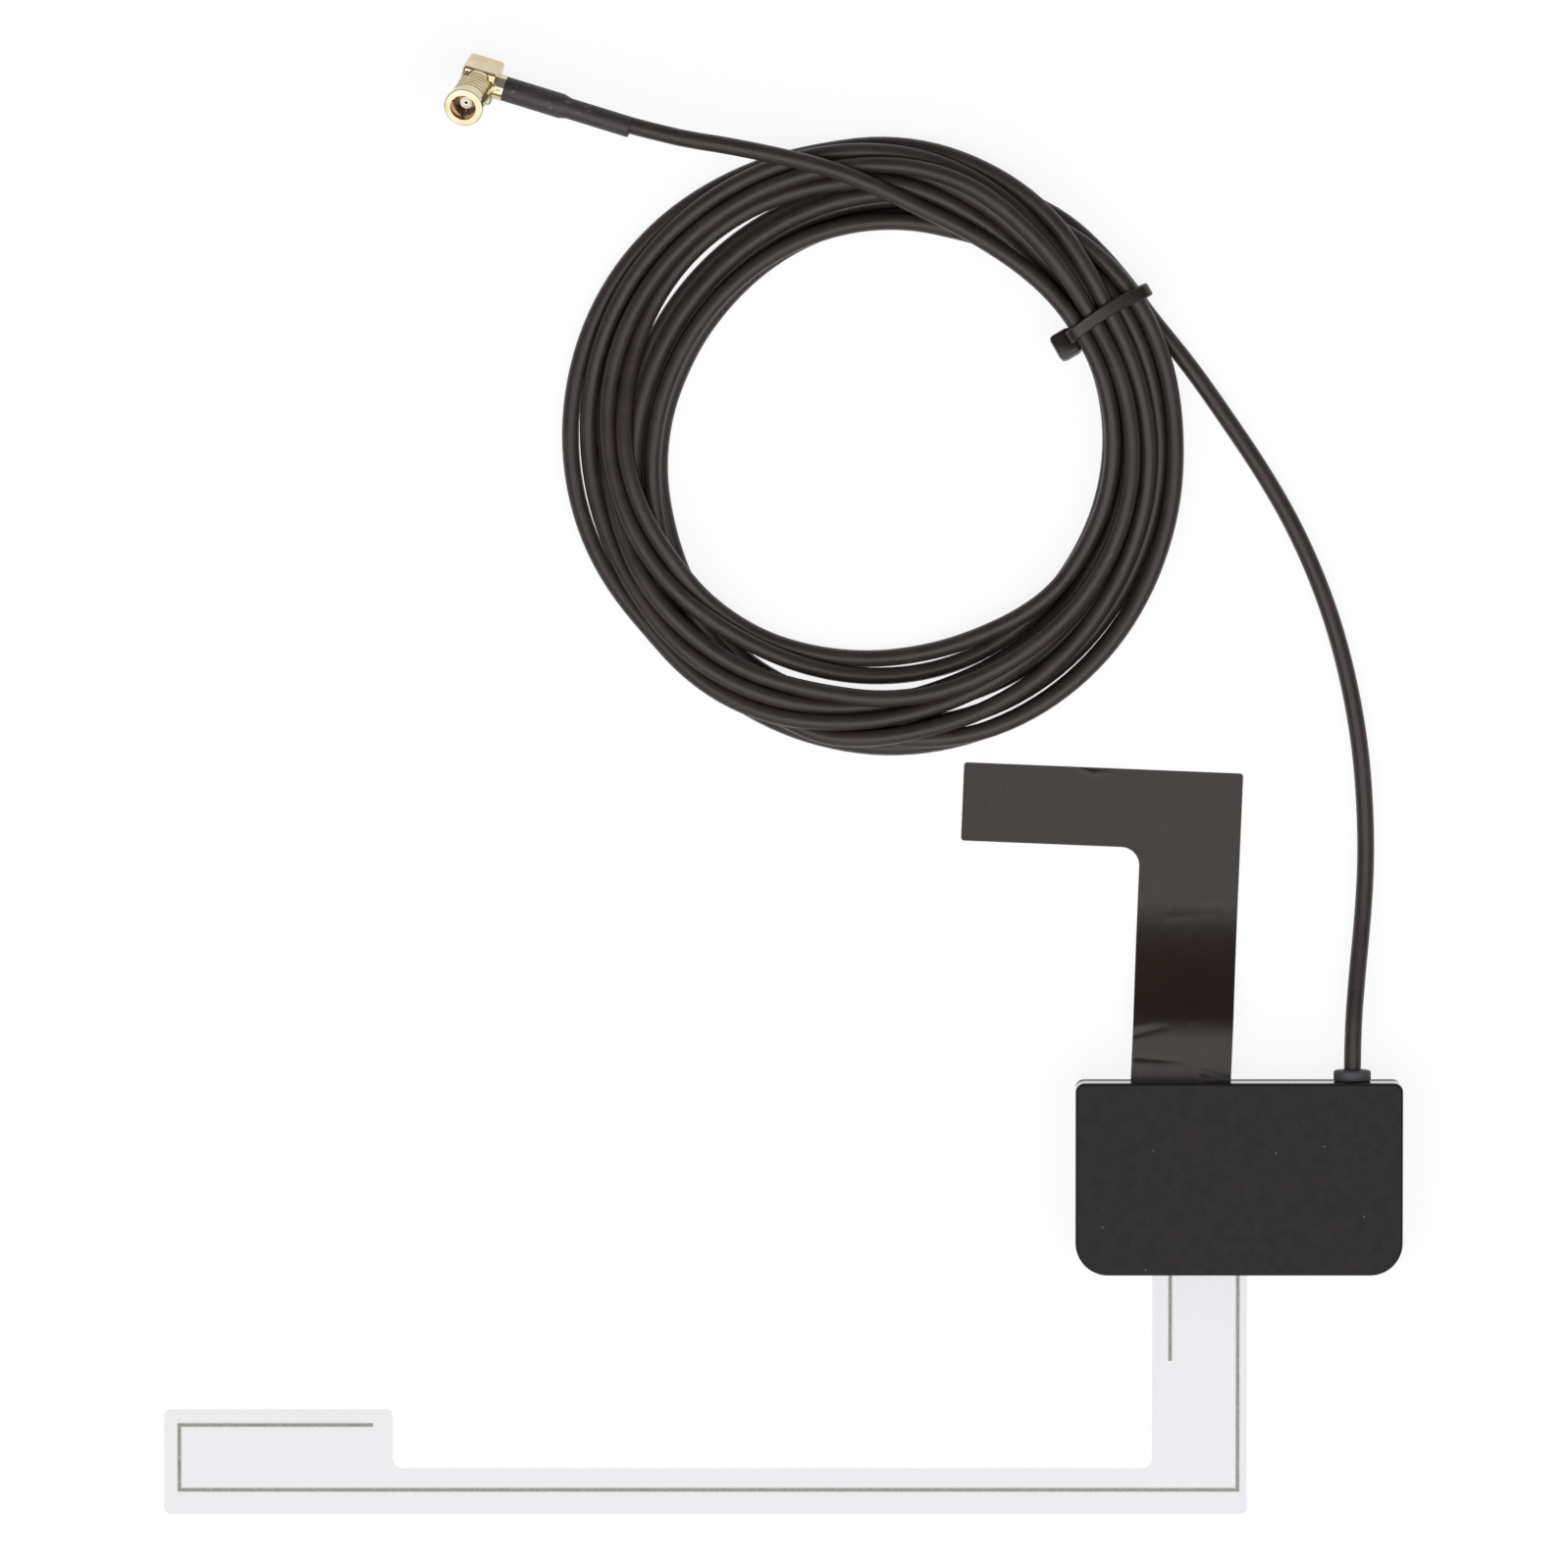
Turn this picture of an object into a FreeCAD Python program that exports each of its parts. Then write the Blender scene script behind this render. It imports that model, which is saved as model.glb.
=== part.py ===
# Active windscreen aerial: printed film, amplifier housing, ground foil, coiled coax lead and plug.
# It lies flat. The origin is the middle of the housing's adhesive face, +Z is up from the glass,
# +X runs along the film and +Y points from the housing towards the cable.
import FreeCAD, Part
import math
import os
import Sketcher
from types import SimpleNamespace

Vector = FreeCAD.Vector

SIZES = [
    # Printed film
    ("film_thickness", 0.2, "clear carrier film"),
    ("film_length", 165.9, "left edge of the tab to right edge of the stem"),
    ("film_right", 1.43, "right edge of the stem from the housing's middle"),
    ("film_drop", 52.3, "bottom edge below the housing's middle"),
    ("film_strip_height", 7.0, "long bottom strip"),
    ("film_tab_length", 35.0, "wider tab at the far end of the strip"),
    ("film_tab_height", 16.1, "wider tab, bottom edge to top edge"),
    ("film_stem_width", 14.5, "stem that runs up under the housing"),
    ("film_past_contact", 3.6, "upper end of the stem beyond the contacts' tips"),
    ("film_outer_corner", 1.0, "rounded outer corners"),
    ("film_inner_corner", 1.5, "rounded inner corners"),
    ("trace_thickness", 0.05, "printed silver conductor"),
    ("trace_width", 0.55, "printed silver conductor"),
    ("trace_edge_right", 1.4, "long trace from the stem's right edge"),
    ("trace_edge_bottom", 3.7, "long trace from the film's bottom edge"),
    ("trace_edge_left", 2.3, "long trace from the film's left edge"),
    ("trace_edge_top", 2.4, "long trace from the tab's top edge"),
    ("trace_edge_tab", 3.0, "free end of the long trace from the tab's right edge"),
    ("trace_pitch", 10.35, "long trace to short trace"),
    ("short_trace_drop", 28.7, "free end of the short trace below the housing's middle"),
    ("land_width", 3.0, "contact land at the top of each trace"),
    ("land_length", 5.0, "contact land at the top of each trace"),
    # Amplifier housing
    ("housing_length", 50.0, "cover, along X"),
    ("housing_width", 29.5, "cover, along Y"),
    ("housing_height", 9.0, "glass to the top of the cover"),
    ("housing_wall", 1.4, "side walls of the cover"),
    ("cover_roof", 1.5, "top wall of the cover"),
    ("crown_radius", 0.45, "rounded edge round the cover's top"),
    ("cable_side_corner", 1.4, "housing corners beside the cable"),
    ("film_side_corner", 5.0, "housing corners above the film"),
    ("parting_height", 4.65, "parting line of the two shells, and the cable's axis there"),
    ("base_inset", 0.12, "base walls set back from the cover's"),
    ("base_floor", 1.2, "bottom wall of the base"),
    ("lip_height", 1.0, "base lip that stands inside the cover"),
    ("lip_thickness", 0.6, "base lip"),
    ("lip_clearance", 0.1, "base lip to cover wall"),
    ("snap_length", 12.0, "snap beads on the two ends of the lip"),
    ("snap_depth", 0.3, "how far a snap bead stands out of the lip"),
    ("snap_height", 0.4, "snap bead"),
    ("snap_clearance", 0.1, "snap bead in its groove"),
    ("pad_thickness", 0.8, "adhesive foam pad"),
    ("pad_margin", 0.8, "pad set back from the base's edge"),
    ("pad_clearance", 0.25, "pad round the film's stem"),
    # Circuit board and what it carries
    ("board_thickness", 1.0, "circuit board"),
    ("board_clearance", 0.2, "board to base wall"),
    ("board_drop", 0.25, "board top below the parting line"),
    ("post_diameter", 3.2, "posts under the board and pins above it"),
    ("post_inset_left", 5.5, "left posts from the housing's end"),
    ("post_inset_right", 4.4, "right posts from the housing's end"),
    ("post_inset_front", 6.75, "posts near the film from the film side"),
    ("post_inset_back", 6.15, "left post near the cable from the cable side"),
    ("post_inset_slot", 10.25, "post beside the coax slot from the cable side"),
    ("contact_strip", 0.25, "thickness of the contact springs"),
    ("contact_width", 2.0, "contact springs"),
    ("contact_wall_gap", 1.25, "foot of a contact to the base's wall"),
    ("contact_run", 3.6, "sloping leaf of a contact"),
    ("contact_foot", 2.2, "soldered foot of a contact"),
    ("contact_kick", 1.1, "upturned end of a contact"),
    ("contact_window_gap", 0.6, "base window round a contact"),
    ("chip_length", 2.9, "amplifier transistor package"),
    ("chip_width", 1.6, "amplifier transistor package"),
    ("chip_height", 1.1, "amplifier transistor package"),
    ("chip_stand", 0.1, "package above the board"),
    ("chip_lead", 0.4, "width of a package lead"),
    ("chip_lead_reach", 0.6, "lead beyond the package"),
    ("chip_lead_pitch", 1.74, "spacing of the package leads"),
    ("choke_diameter", 4.2, "wound choke"),
    ("choke_height", 2.6, "wound choke"),
    ("choke_flange", 0.5, "choke end flanges"),
    ("choke_winding", 3.2, "diameter over the winding"),
    ("passive_length", 1.6, "chip capacitors and resistors"),
    ("passive_width", 0.8, "chip capacitors and resistors"),
    ("capacitor_height", 0.8, "chip capacitors"),
    ("resistor_height", 0.45, "chip resistors"),
    ("passive_pitch", 3.2, "spacing of the chip parts"),
    # Ground foil
    ("foil_thickness", 0.2, "black laminated foil"),
    ("foil_middle", -8.85, "middle of the leg where it leaves the housing"),
    ("foil_turn", -2.35, "the foil lies turned in its plane, degrees"),
    ("foil_leg_width", 15.3, "leg"),
    ("foil_reach", 47.1, "housing wall to the far edge of the arm"),
    ("foil_arm_length", 42.7, "arm, over the leg"),
    ("foil_arm_height", 12.0, "arm"),
    ("foil_tuck", 5.6, "length held inside the housing"),
    ("foil_step", 9.0, "level length outside the wall, up to the crease"),
    ("foil_slope", 10.6, "crease to the corner of the long bend"),
    ("foil_crease", 1.0, "bend radius at the crease"),
    ("foil_sweep", 50.0, "radius of the long bend down to the glass"),
    ("foil_inner_corner", 2.8, "rounded corner between arm and leg"),
    ("foil_outer_corner", 0.5, "outer corners"),
    ("foil_slit_clearance", 0.45, "slit beside the foil"),
    # Coax lead and its gland
    ("cable_diameter", 2.6, "thin coax, over the jacket"),
    ("braid_diameter", 2.0, "over the braid"),
    ("dielectric_diameter", 1.5, "over the dielectric"),
    ("conductor_diameter", 0.5, "inner conductor"),
    ("gland_inset", 7.67, "cable exit from the housing's end"),
    ("gland_flange", 5.7, "outer flange diameter"),
    ("gland_flange_length", 1.65, "outer flange"),
    ("gland_neck", 3.6, "neck gripped by the two shells"),
    ("gland_collar", 5.0, "inner collar diameter"),
    ("gland_collar_length", 1.0, "inner collar"),
    ("gland_edge", 0.35, "rounded flange edges"),
    ("jacket_tail", 0.5, "jacket beyond the inner collar"),
    ("braid_tail", 2.8, "bared braid"),
    ("dielectric_tail", 4.0, "bared dielectric"),
    ("conductor_tail", 6.8, "bared conductor"),
    ("slot_clearance", 0.4, "board slot beside the braid"),
    # Coil and its tie
    ("coil_x", -55.3, "middle of the coil"),
    ("coil_y", 112.3, "middle of the coil"),
    ("coil_turn", 135.0, "direction of the coil's long axis, degrees"),
    ("coil_long", 96.8, "outer length of the coil"),
    ("coil_short", 92.4, "outer width of the coil"),
    ("coil_hole_long", 64.0, "hole along the coil's long axis"),
    ("coil_hole_short", 68.4, "hole across the coil's long axis"),
    ("coil_hole_shift", 1.7, "hole towards the lower right end"),
    ("coil_height", 7.2, "height of the hank"),
    ("coil_round", 2.6, "rounded edges of the hank"),
    ("tie_angle", 30.0, "direction of the tie from the coil's middle, degrees"),
    ("tie_inner", 34.2, "inside of the tie from the coil's middle"),
    ("tie_outer", 46.6, "outside of the strap's opening from the coil's middle"),
    ("tie_strap", 0.9, "strap thickness"),
    ("tie_width", 2.0, "strap width"),
    ("tie_clearance", 0.1, "strap to hank"),
    ("tie_corner", 1.6, "strap bends, outside"),
    ("tie_head_length", 3.6, "ratchet head, towards the coil's middle"),
    ("tie_head_width", 4.2, "ratchet head, across the strap"),
    ("tie_head_height", 3.4, "ratchet head"),
    ("tie_head_lift", 1.6, "ratchet head above the glass"),
    ("tie_head_edge", 0.5, "rounded head edges"),
    # Right-angle push-on plug; its own X follows the cable and its own Z the barrel
    ("plug_x", -115.8, "crossing of the cable's and the barrel's axes"),
    ("plug_y", 167.5, "crossing of the cable's and the barrel's axes"),
    ("plug_z", 4.3, "crossing of the cable's and the barrel's axes"),
    ("plug_yaw", -16.9, "cable direction, degrees"),
    ("plug_pitch", -7.0, "cable rises towards the coil, degrees"),
    ("plug_roll", 24.5, "barrel leans over, degrees"),
    ("block_length", 5.5, "elbow block along the cable"),
    ("block_width", 5.5, "elbow block across"),
    ("block_back", 3.4, "elbow block behind the cable's axis"),
    ("block_front", 2.2, "elbow block in front of the cable's axis"),
    ("block_edge", 0.6, "rounded block edges"),
    ("collar_diameter", 4.0, "round shoulder on the block's cable side"),
    ("collar_length", 1.3, "round shoulder on the block's cable side"),
    ("spigot_diameter", 2.0, "crimp spigot"),
    ("spigot_length", 4.9, "crimp spigot beyond the shoulder"),
    ("stub_diameter", 4.4, "barrel stub of the body"),
    ("stub_length", 2.9, "barrel stub of the body"),
    ("solder_bore", 3.6, "solder chamber behind the contact"),
    ("solder_depth", 4.3, "solder chamber, from the block's back"),
    ("cap_thickness", 0.6, "pressed-in cap of the solder chamber"),
    ("insulator_diameter", 3.0, "insulator in the body"),
    ("insulator_length", 3.9, "insulator in the body"),
    ("nose_diameter", 1.9, "slim nose of the insulator"),
    ("socket_depth", 2.0, "nose behind the mouth of the barrel"),
    ("contact_diameter", 0.9, "centre contact"),
    ("contact_hole", 0.5, "pin hole of the centre contact"),
    ("contact_hole_depth", 2.5, "pin hole of the centre contact"),
    ("barrel_reach", 10.4, "cable axis to the mouth of the barrel"),
    ("barrel_diameter", 5.4, "coupling sleeve"),
    ("rim_diameter", 6.0, "rim at the mouth"),
    ("rim_length", 1.2, "rim at the mouth"),
    ("rim_edge", 0.2, "rounded rim edges"),
    ("mouth_diameter", 4.0, "opening in the rim"),
    ("groove_depth", 0.18, "grip grooves round the coupling sleeve"),
    ("groove_width", 0.35, "grip grooves round the coupling sleeve"),
    ("groove_pitch", 0.85, "grip grooves round the coupling sleeve"),
    ("collet_bore", 3.6, "slotted spring collet"),
    ("collet_clearance", 0.05, "collet to coupling sleeve"),
    ("collet_slot", 0.35, "slots of the collet"),
    ("collet_ring", 1.0, "unslotted length of the collet"),
    ("ferrule_wall", 0.3, "crimp ferrule"),
    ("ferrule_length", 9.1, "crimp ferrule"),
    ("shrink_wall", 0.3, "heat-shrink sleeve"),
    ("shrink_length", 20.1, "heat-shrink sleeve"),
    ("shrink_taper", 1.2, "length over which the sleeve narrows past the ferrule"),
]

# Counts of what repeats.
CAPACITORS = 4
RESISTORS = 3
GRIP_GROOVES = 6

# Share of the shorter run that a bend of the cable takes up.
BEND_SHARE = 0.45
# Route of the lead from the gland's collar to the tied hank, and of the tail into the hank.
# The lead comes straight out of the housing, sinks to the glass and swings left to the outside of the hank.
LEAD_STRAIGHT = 10.05
LEAD_ROUTE = [
    (18.05, 30.5, 3.2),
    (18.95, 39.0, 1.75),
    (19.5, 48.0, 1.32),
    (19.3, 57.0, 1.32),
    (18.55, 65.8, 1.32),
    (17.05, 74.6, 1.32),
    (14.85, 83.3, 1.32),
    (11.85, 91.8, 1.32),
    (8.0, 100.2, 1.32),
    (3.3, 108.2, 1.32),
    (-2.0, 116.0, 1.32),
    (-7.6, 124.0, 1.32),
    (-14.6, 132.4, 1.9),
]
# The tail leaves the plug's ferrule straight, then bends into the outside of the hank.
TAIL_STRAIGHT = 17.0
TAIL_ROUTE = [
    (-77.6, 157.6, 7.2),
    (-64.6, 155.4, 5.3),
]

doc = FreeCAD.newDocument("windscreen_aerial")
sheet = doc.addObject("Spreadsheet::Sheet", "sizes")
for row, (alias, value, note) in enumerate(SIZES, start=1):
    sheet.set(f"A{row}", alias)
    sheet.set(f"B{row}", str(value))
    sheet.set(f"C{row}", note)
    sheet.setAlias(f"B{row}", alias)
doc.recompute()


class Size:
    # A length that keeps the spreadsheet expression it was worked out from.
    def __init__(self, value, text):
        self.value = value
        self.text = text

    def joined(self, other, sign, value):
        other_text = other.text if isinstance(other, Size) else repr(float(other))
        return Size(value, f"({self.text} {sign} {other_text})")

    def __add__(self, other):
        return self.joined(other, "+", self.value + number(other))

    def __sub__(self, other):
        return self.joined(other, "-", self.value - number(other))

    def __mul__(self, other):
        return self.joined(other, "*", self.value * number(other))

    def __truediv__(self, other):
        return self.joined(other, "/", self.value / number(other))

    def __neg__(self):
        return Size(-self.value, f"(-1 * {self.text})")


def number(size):
    return size.value if isinstance(size, Size) else float(size)


dim = SimpleNamespace(**{alias: Size(value, f"sizes.{alias}") for alias, value, note in SIZES})
parts = {}


def bind(feature, name, size):
    if isinstance(size, Size):
        feature.setExpression(name, size.text)
    else:
        setattr(feature, name, size)


def place(feature, x=0, y=0, z=0, turn=0):
    # Shifts a piece and turns it about the vertical.
    feature.Placement = FreeCAD.Placement(
        Vector(number(x), number(y), number(z)), FreeCAD.Rotation(Vector(0, 0, 1), number(turn))
    )
    for axis, size in (("x", x), ("y", y), ("z", z)):
        if isinstance(size, Size):
            feature.setExpression(f"Placement.Base.{axis}", size.text)
    if isinstance(turn, Size):
        feature.setExpression("Placement.Rotation.Angle", turn.text)


def new_body(label):
    body = doc.addObject("PartDesign::Body", label)
    body.Label = label
    parts[label] = body
    return body


def new_sketch(body, role="XY_Plane", height=0, x=0, y=0):
    sketch = body.newObject("Sketcher::SketchObject", f"{body.Name}_sketch")
    plane = next(item for item in body.Origin.OriginFeatures if item.Role == role)
    sketch.AttachmentSupport = [(plane, "")]
    sketch.MapMode = "FlatFace"
    for axis, size in (("x", x), ("y", y), ("z", height)):
        if isinstance(size, Size):
            sketch.setExpression(f"AttachmentOffset.Base.{axis}", size.text)
    return sketch


def fix_point(sketch, geometry, corner, x, y):
    # Ties a point to the sketch's axes, or to a distance from its origin.
    for kind, axis, size in (("DistanceX", -2, x), ("DistanceY", -1, y)):
        if not isinstance(size, Size):
            sketch.addConstraint(Sketcher.Constraint("PointOnObject", geometry, corner, axis))
        elif size.value < 0:
            row = sketch.addConstraint(Sketcher.Constraint(kind, geometry, corner, -1, 1, -size.value))
            sketch.setExpression(f"Constraints[{row}]", (-size).text)
        else:
            row = sketch.addConstraint(Sketcher.Constraint(kind, -1, 1, geometry, corner, size.value))
            sketch.setExpression(f"Constraints[{row}]", size.text)


def add_polygon(sketch, corners):
    # Closed outline through corners given as sizes; a plain 0 lies on that axis.
    points = [Vector(number(x), number(y), 0) for x, y in corners]
    first = sketch.GeometryCount
    for start, end in zip(points, points[1:] + points[:1]):
        sketch.addGeometry(Part.LineSegment(start, end), False)
    for index in range(len(corners)):
        following = first + (index + 1) % len(corners)
        sketch.addConstraint(Sketcher.Constraint("Coincident", first + index, 2, following, 1))
    for index, (x, y) in enumerate(corners):
        fix_point(sketch, first + index, 1, x, y)
    return sketch


def add_rectangle(sketch, left, right, low, high):
    return add_polygon(sketch, [(left, low), (right, low), (right, high), (left, high)])


def add_rounded_rectangle(sketch, half_length, half_width, low_corner, high_corner):
    # Rectangle about the sketch's origin, with one corner radius below and another above.
    corners = [(1, -1, low_corner), (1, 1, high_corner), (-1, 1, high_corner), (-1, -1, low_corner)]
    arcs = []
    for quarter, (side, level, radius) in enumerate(corners):
        middle = Vector(
            side * (number(half_length) - number(radius)), level * (number(half_width) - number(radius)), 0
        )
        circle = Part.Circle(middle, Vector(0, 0, 1), number(radius))
        start = (quarter - 1) * math.pi / 2
        arcs.append(sketch.addGeometry(Part.ArcOfCircle(circle, start, start + math.pi / 2), False))
        row = sketch.addConstraint(Sketcher.Constraint("Radius", arcs[-1], number(radius)))
        sketch.setExpression(f"Constraints[{row}]", radius.text)
    for index, arc in enumerate(arcs):
        following = arcs[(index + 1) % len(arcs)]
        start = sketch.getPoint(arc, 2)
        end = sketch.getPoint(following, 1)
        line = sketch.addGeometry(Part.LineSegment(start, end), False)
        sketch.addConstraint(Sketcher.Constraint("Tangent", arc, 2, line, 1))
        sketch.addConstraint(Sketcher.Constraint("Tangent", line, 2, following, 1))
        upright = index % 2 == 0
        sketch.addConstraint(Sketcher.Constraint("Vertical" if upright else "Horizontal", line))
        kind = "DistanceX" if upright else "DistanceY"
        size = half_length if upright else half_width
        ends = (-1, 1, line, 1) if index < 2 else (line, 1, -1, 1)
        row = sketch.addConstraint(Sketcher.Constraint(kind, *ends, number(size)))
        sketch.setExpression(f"Constraints[{row}]", size.text)
    return sketch


def add_circle(sketch, diameter, x=0, y=0):
    centre = Vector(number(x), number(y), 0)
    circle = sketch.addGeometry(Part.Circle(centre, Vector(0, 0, 1), number(diameter) / 2), False)
    fix_point(sketch, circle, 3, x, y)
    row = sketch.addConstraint(Sketcher.Constraint("Diameter", circle, number(diameter)))
    sketch.setExpression(f"Constraints[{row}]", diameter.text)
    return sketch


def add_oval(sketch, length, width):
    # Oval about the sketch's origin, made of four arcs that meet on its diagonals.
    diagonal = math.sqrt(0.5)
    half_length = length / 2
    half_width = width / 2
    shift = (half_length - half_width) / (2 - 2 * diagonal)
    end_radius = half_length - shift
    side_radius = half_width + shift
    joint_x = shift + end_radius * diagonal
    joint_y = end_radius * diagonal
    joints = [(joint_x, -joint_y), (joint_x, joint_y), (-joint_x, joint_y), (-joint_x, -joint_y)]
    tops = [(half_length, 0), (0, half_width), (-half_length, 0), (0, -half_width)]
    arcs = []
    for index, (start, top) in enumerate(zip(joints, tops)):
        end = joints[(index + 1) % len(joints)]
        through = [Vector(number(x), number(y), 0) for x, y in (start, top, end)]
        arcs.append(sketch.addGeometry(Part.Arc(*through), False))
        radius = side_radius if index % 2 else end_radius
        row = sketch.addConstraint(Sketcher.Constraint("Radius", arcs[-1], number(radius)))
        sketch.setExpression(f"Constraints[{row}]", radius.text)
    for index, (arc, (x, y)) in enumerate(zip(arcs, joints)):
        fix_point(sketch, arc, 1, x, y)
        sketch.addConstraint(Sketcher.Constraint("Coincident", arc, 2, arcs[(index + 1) % len(arcs)], 1))
    return sketch


def extrude(body, kind, sketch, length, flip=False, both_ways=False):
    # Pad or Pocket; a cut that takes nothing away is an error.
    before = body.Shape.Volume if kind == "Pocket" else 0
    feature = body.newObject(f"PartDesign::{kind}", f"{body.Name}_{kind.lower()}")
    feature.Profile = sketch
    bind(feature, "Length", length)
    feature.Reversed = flip
    feature.Midplane = both_ways
    doc.recompute()
    if kind == "Pocket" and body.Shape.Volume > before - 1e-6:
        raise RuntimeError(f"{body.Label}: a pocket cuts nothing")
    return feature


def pad(body, sketch, length, flip=False, both_ways=False):
    return extrude(body, "Pad", sketch, length, flip, both_ways)


def pocket(body, sketch, length, flip=False, both_ways=False):
    return extrude(body, "Pocket", sketch, length, flip, both_ways)


def revolve(body, sketch, axis):
    feature = body.newObject("PartDesign::Revolution", f"{body.Name}_revolution")
    feature.Profile = sketch
    feature.ReferenceAxis = (sketch, [axis])
    feature.Angle = 360
    doc.recompute()
    return feature


def round_edges(body, radius, chosen):
    # Rounds the edges of the body that the test picks.
    base = body.Tip
    names = [f"Edge{index}" for index, edge in enumerate(base.Shape.Edges, start=1) if chosen(edge)]
    if not names:
        raise RuntimeError(f"{body.Label}: no edge to round")
    feature = body.newObject("PartDesign::Fillet", f"{body.Name}_fillet")
    feature.Base = (base, names)
    bind(feature, "Radius", radius)
    doc.recompute()
    return feature


def upright_at(*corners):
    # Picks straight edges along Z that stand at the given corners.
    def chosen(edge):
        ends = [vertex.Point for vertex in edge.Vertexes]
        if len(ends) != 2 or (ends[0] - ends[1]).cross(Vector(0, 0, 1)).Length > 1e-6:
            return False
        return any(math.hypot(ends[0].x - number(x), ends[0].y - number(y)) < 1e-4 for x, y in corners)
    return chosen


def flat_at(axis, *levels):
    # Picks edges that lie whole at one of the levels of an axis.
    def chosen(edge):
        box = edge.BoundBox
        low = getattr(box, f"{axis}Min")
        high = getattr(box, f"{axis}Max")
        return any(abs(low - number(z)) < 1e-4 and abs(high - number(z)) < 1e-4 for z in levels)
    return chosen


def along_at(axis, *places):
    # Picks straight edges along an axis that pass through the given places in the other two.
    others = [name for name in "XYZ" if name != axis]

    def chosen(edge):
        box = edge.BoundBox
        if any(getattr(box, f"{name}Length") > 1e-6 for name in others):
            return False
        here = [getattr(box, f"{name}Min") for name in others]
        return any(math.hypot(here[0] - number(u), here[1] - number(v)) < 1e-4 for u, v in places)
    return chosen


# Heights that several pieces share.
base_top = dim.pad_thickness + dim.base_floor
board_top = dim.parting_height - dim.board_drop
board_under = board_top - dim.board_thickness
lip_top = dim.parting_height + dim.lip_height
roof_under = dim.housing_height - dim.cover_roof
# Distances in from the cover's outline.
lip_inset = dim.housing_wall + dim.lip_clearance
cavity_inset = lip_inset + dim.lip_thickness
board_inset = cavity_inset + dim.board_clearance
# Film, trace and contact places.
stem_left = dim.film_right - dim.film_stem_width
long_trace_x = dim.film_right - dim.trace_edge_right
short_trace_x = long_trace_x - dim.trace_pitch
film_bottom = -dim.film_drop
film_left = dim.film_right - dim.film_length
trace_top = dim.film_thickness + dim.trace_thickness
contact_back = cavity_inset + dim.contact_wall_gap - dim.housing_width / 2
contact_knee = contact_back + dim.contact_foot
contact_tip = contact_knee + dim.contact_run
contact_end = contact_tip + dim.contact_kick
film_end = contact_tip + dim.film_past_contact
land_high = film_end - dim.trace_width
land_low = land_high - dim.land_length
# Cable exit and posts under the board, in from the housing's outline.
gland_x = dim.housing_length / 2 - dim.gland_inset
post_left = dim.post_inset_left - dim.housing_length / 2
post_right = dim.housing_length / 2 - dim.post_inset_right
post_front = dim.post_inset_front - dim.housing_width / 2
post_back = dim.housing_width / 2 - dim.post_inset_back
post_slot = dim.housing_width / 2 - dim.post_inset_slot


def housing_layer(body, kind, inset, floor, height, flip=False):
    # One layer of the housing's outline, set in from the cover's, added or cut.
    half_length = dim.housing_length / 2 - inset
    half_width = dim.housing_width / 2 - inset
    sharp = number(dim.cable_side_corner) - number(inset) < number(dim.crown_radius)
    cable_corner = dim.crown_radius if sharp else dim.cable_side_corner - inset
    sketch = new_sketch(body, height=floor)
    add_rounded_rectangle(sketch, half_length, half_width, dim.film_side_corner - inset, cable_corner)
    extrude(body, kind, sketch, height, flip)


def antenna_film():
    body = new_body("antenna_film")
    strip_top = film_bottom + dim.film_strip_height
    tab_top = film_bottom + dim.film_tab_height
    tab_right = film_left + dim.film_tab_length
    low_corners = [(film_left, film_bottom), (dim.film_right, film_bottom)]
    stem_end = [(dim.film_right, film_end), (stem_left, film_end)]
    inner = [(stem_left, strip_top), (tab_right, strip_top)]
    tab_corners = [(tab_right, tab_top), (film_left, tab_top)]
    sketch = add_polygon(new_sketch(body), low_corners + stem_end + inner + tab_corners)
    pad(body, sketch, dim.film_thickness)
    round_edges(body, dim.film_outer_corner, upright_at(*low_corners, *tab_corners))
    round_edges(body, dim.film_inner_corner, upright_at(*inner))


def printed_traces():
    half = dim.trace_width / 2
    land = dim.land_width / 2
    low = film_bottom + dim.trace_edge_bottom
    left = film_left + dim.trace_edge_left
    high = film_bottom + dim.film_tab_height - dim.trace_edge_top
    end = film_left + dim.film_tab_length - dim.trace_edge_tab
    right = long_trace_x
    # Down the stem, along the strip, up the tab and back along its top.
    long_outline = [
        (right - land, land_high), (right - land, land_low), (right - half, land_low),
        (right - half, low + half), (left + half, low + half), (left + half, high - half),
        (end, high - half), (end, high + half), (left - half, high + half),
        (left - half, low - half), (right + half, low - half), (right + half, land_low),
        (dim.film_right - half, land_low), (dim.film_right - half, land_high),
    ]
    short = short_trace_x
    short_end = -dim.short_trace_drop
    short_outline = [
        (short - land, land_high), (short - land, land_low), (short - half, land_low),
        (short - half, short_end), (short + half, short_end), (short + half, land_low),
        (short + land, land_low), (short + land, land_high),
    ]
    for label, outline in (("long_trace", long_outline), ("short_trace", short_outline)):
        body = new_body(label)
        pad(body, add_polygon(new_sketch(body, height=dim.film_thickness), outline), dim.trace_thickness)


def contact_window(body, x, floor, height):
    # Opening through which a contact spring reaches the film.
    half = dim.contact_width / 2 + dim.contact_window_gap
    low = contact_knee + dim.contact_window_gap
    high = contact_end + dim.contact_window_gap
    sketch = add_rectangle(new_sketch(body, height=floor), x - half, x + half, low, high)
    pocket(body, sketch, height, flip=True)


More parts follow.
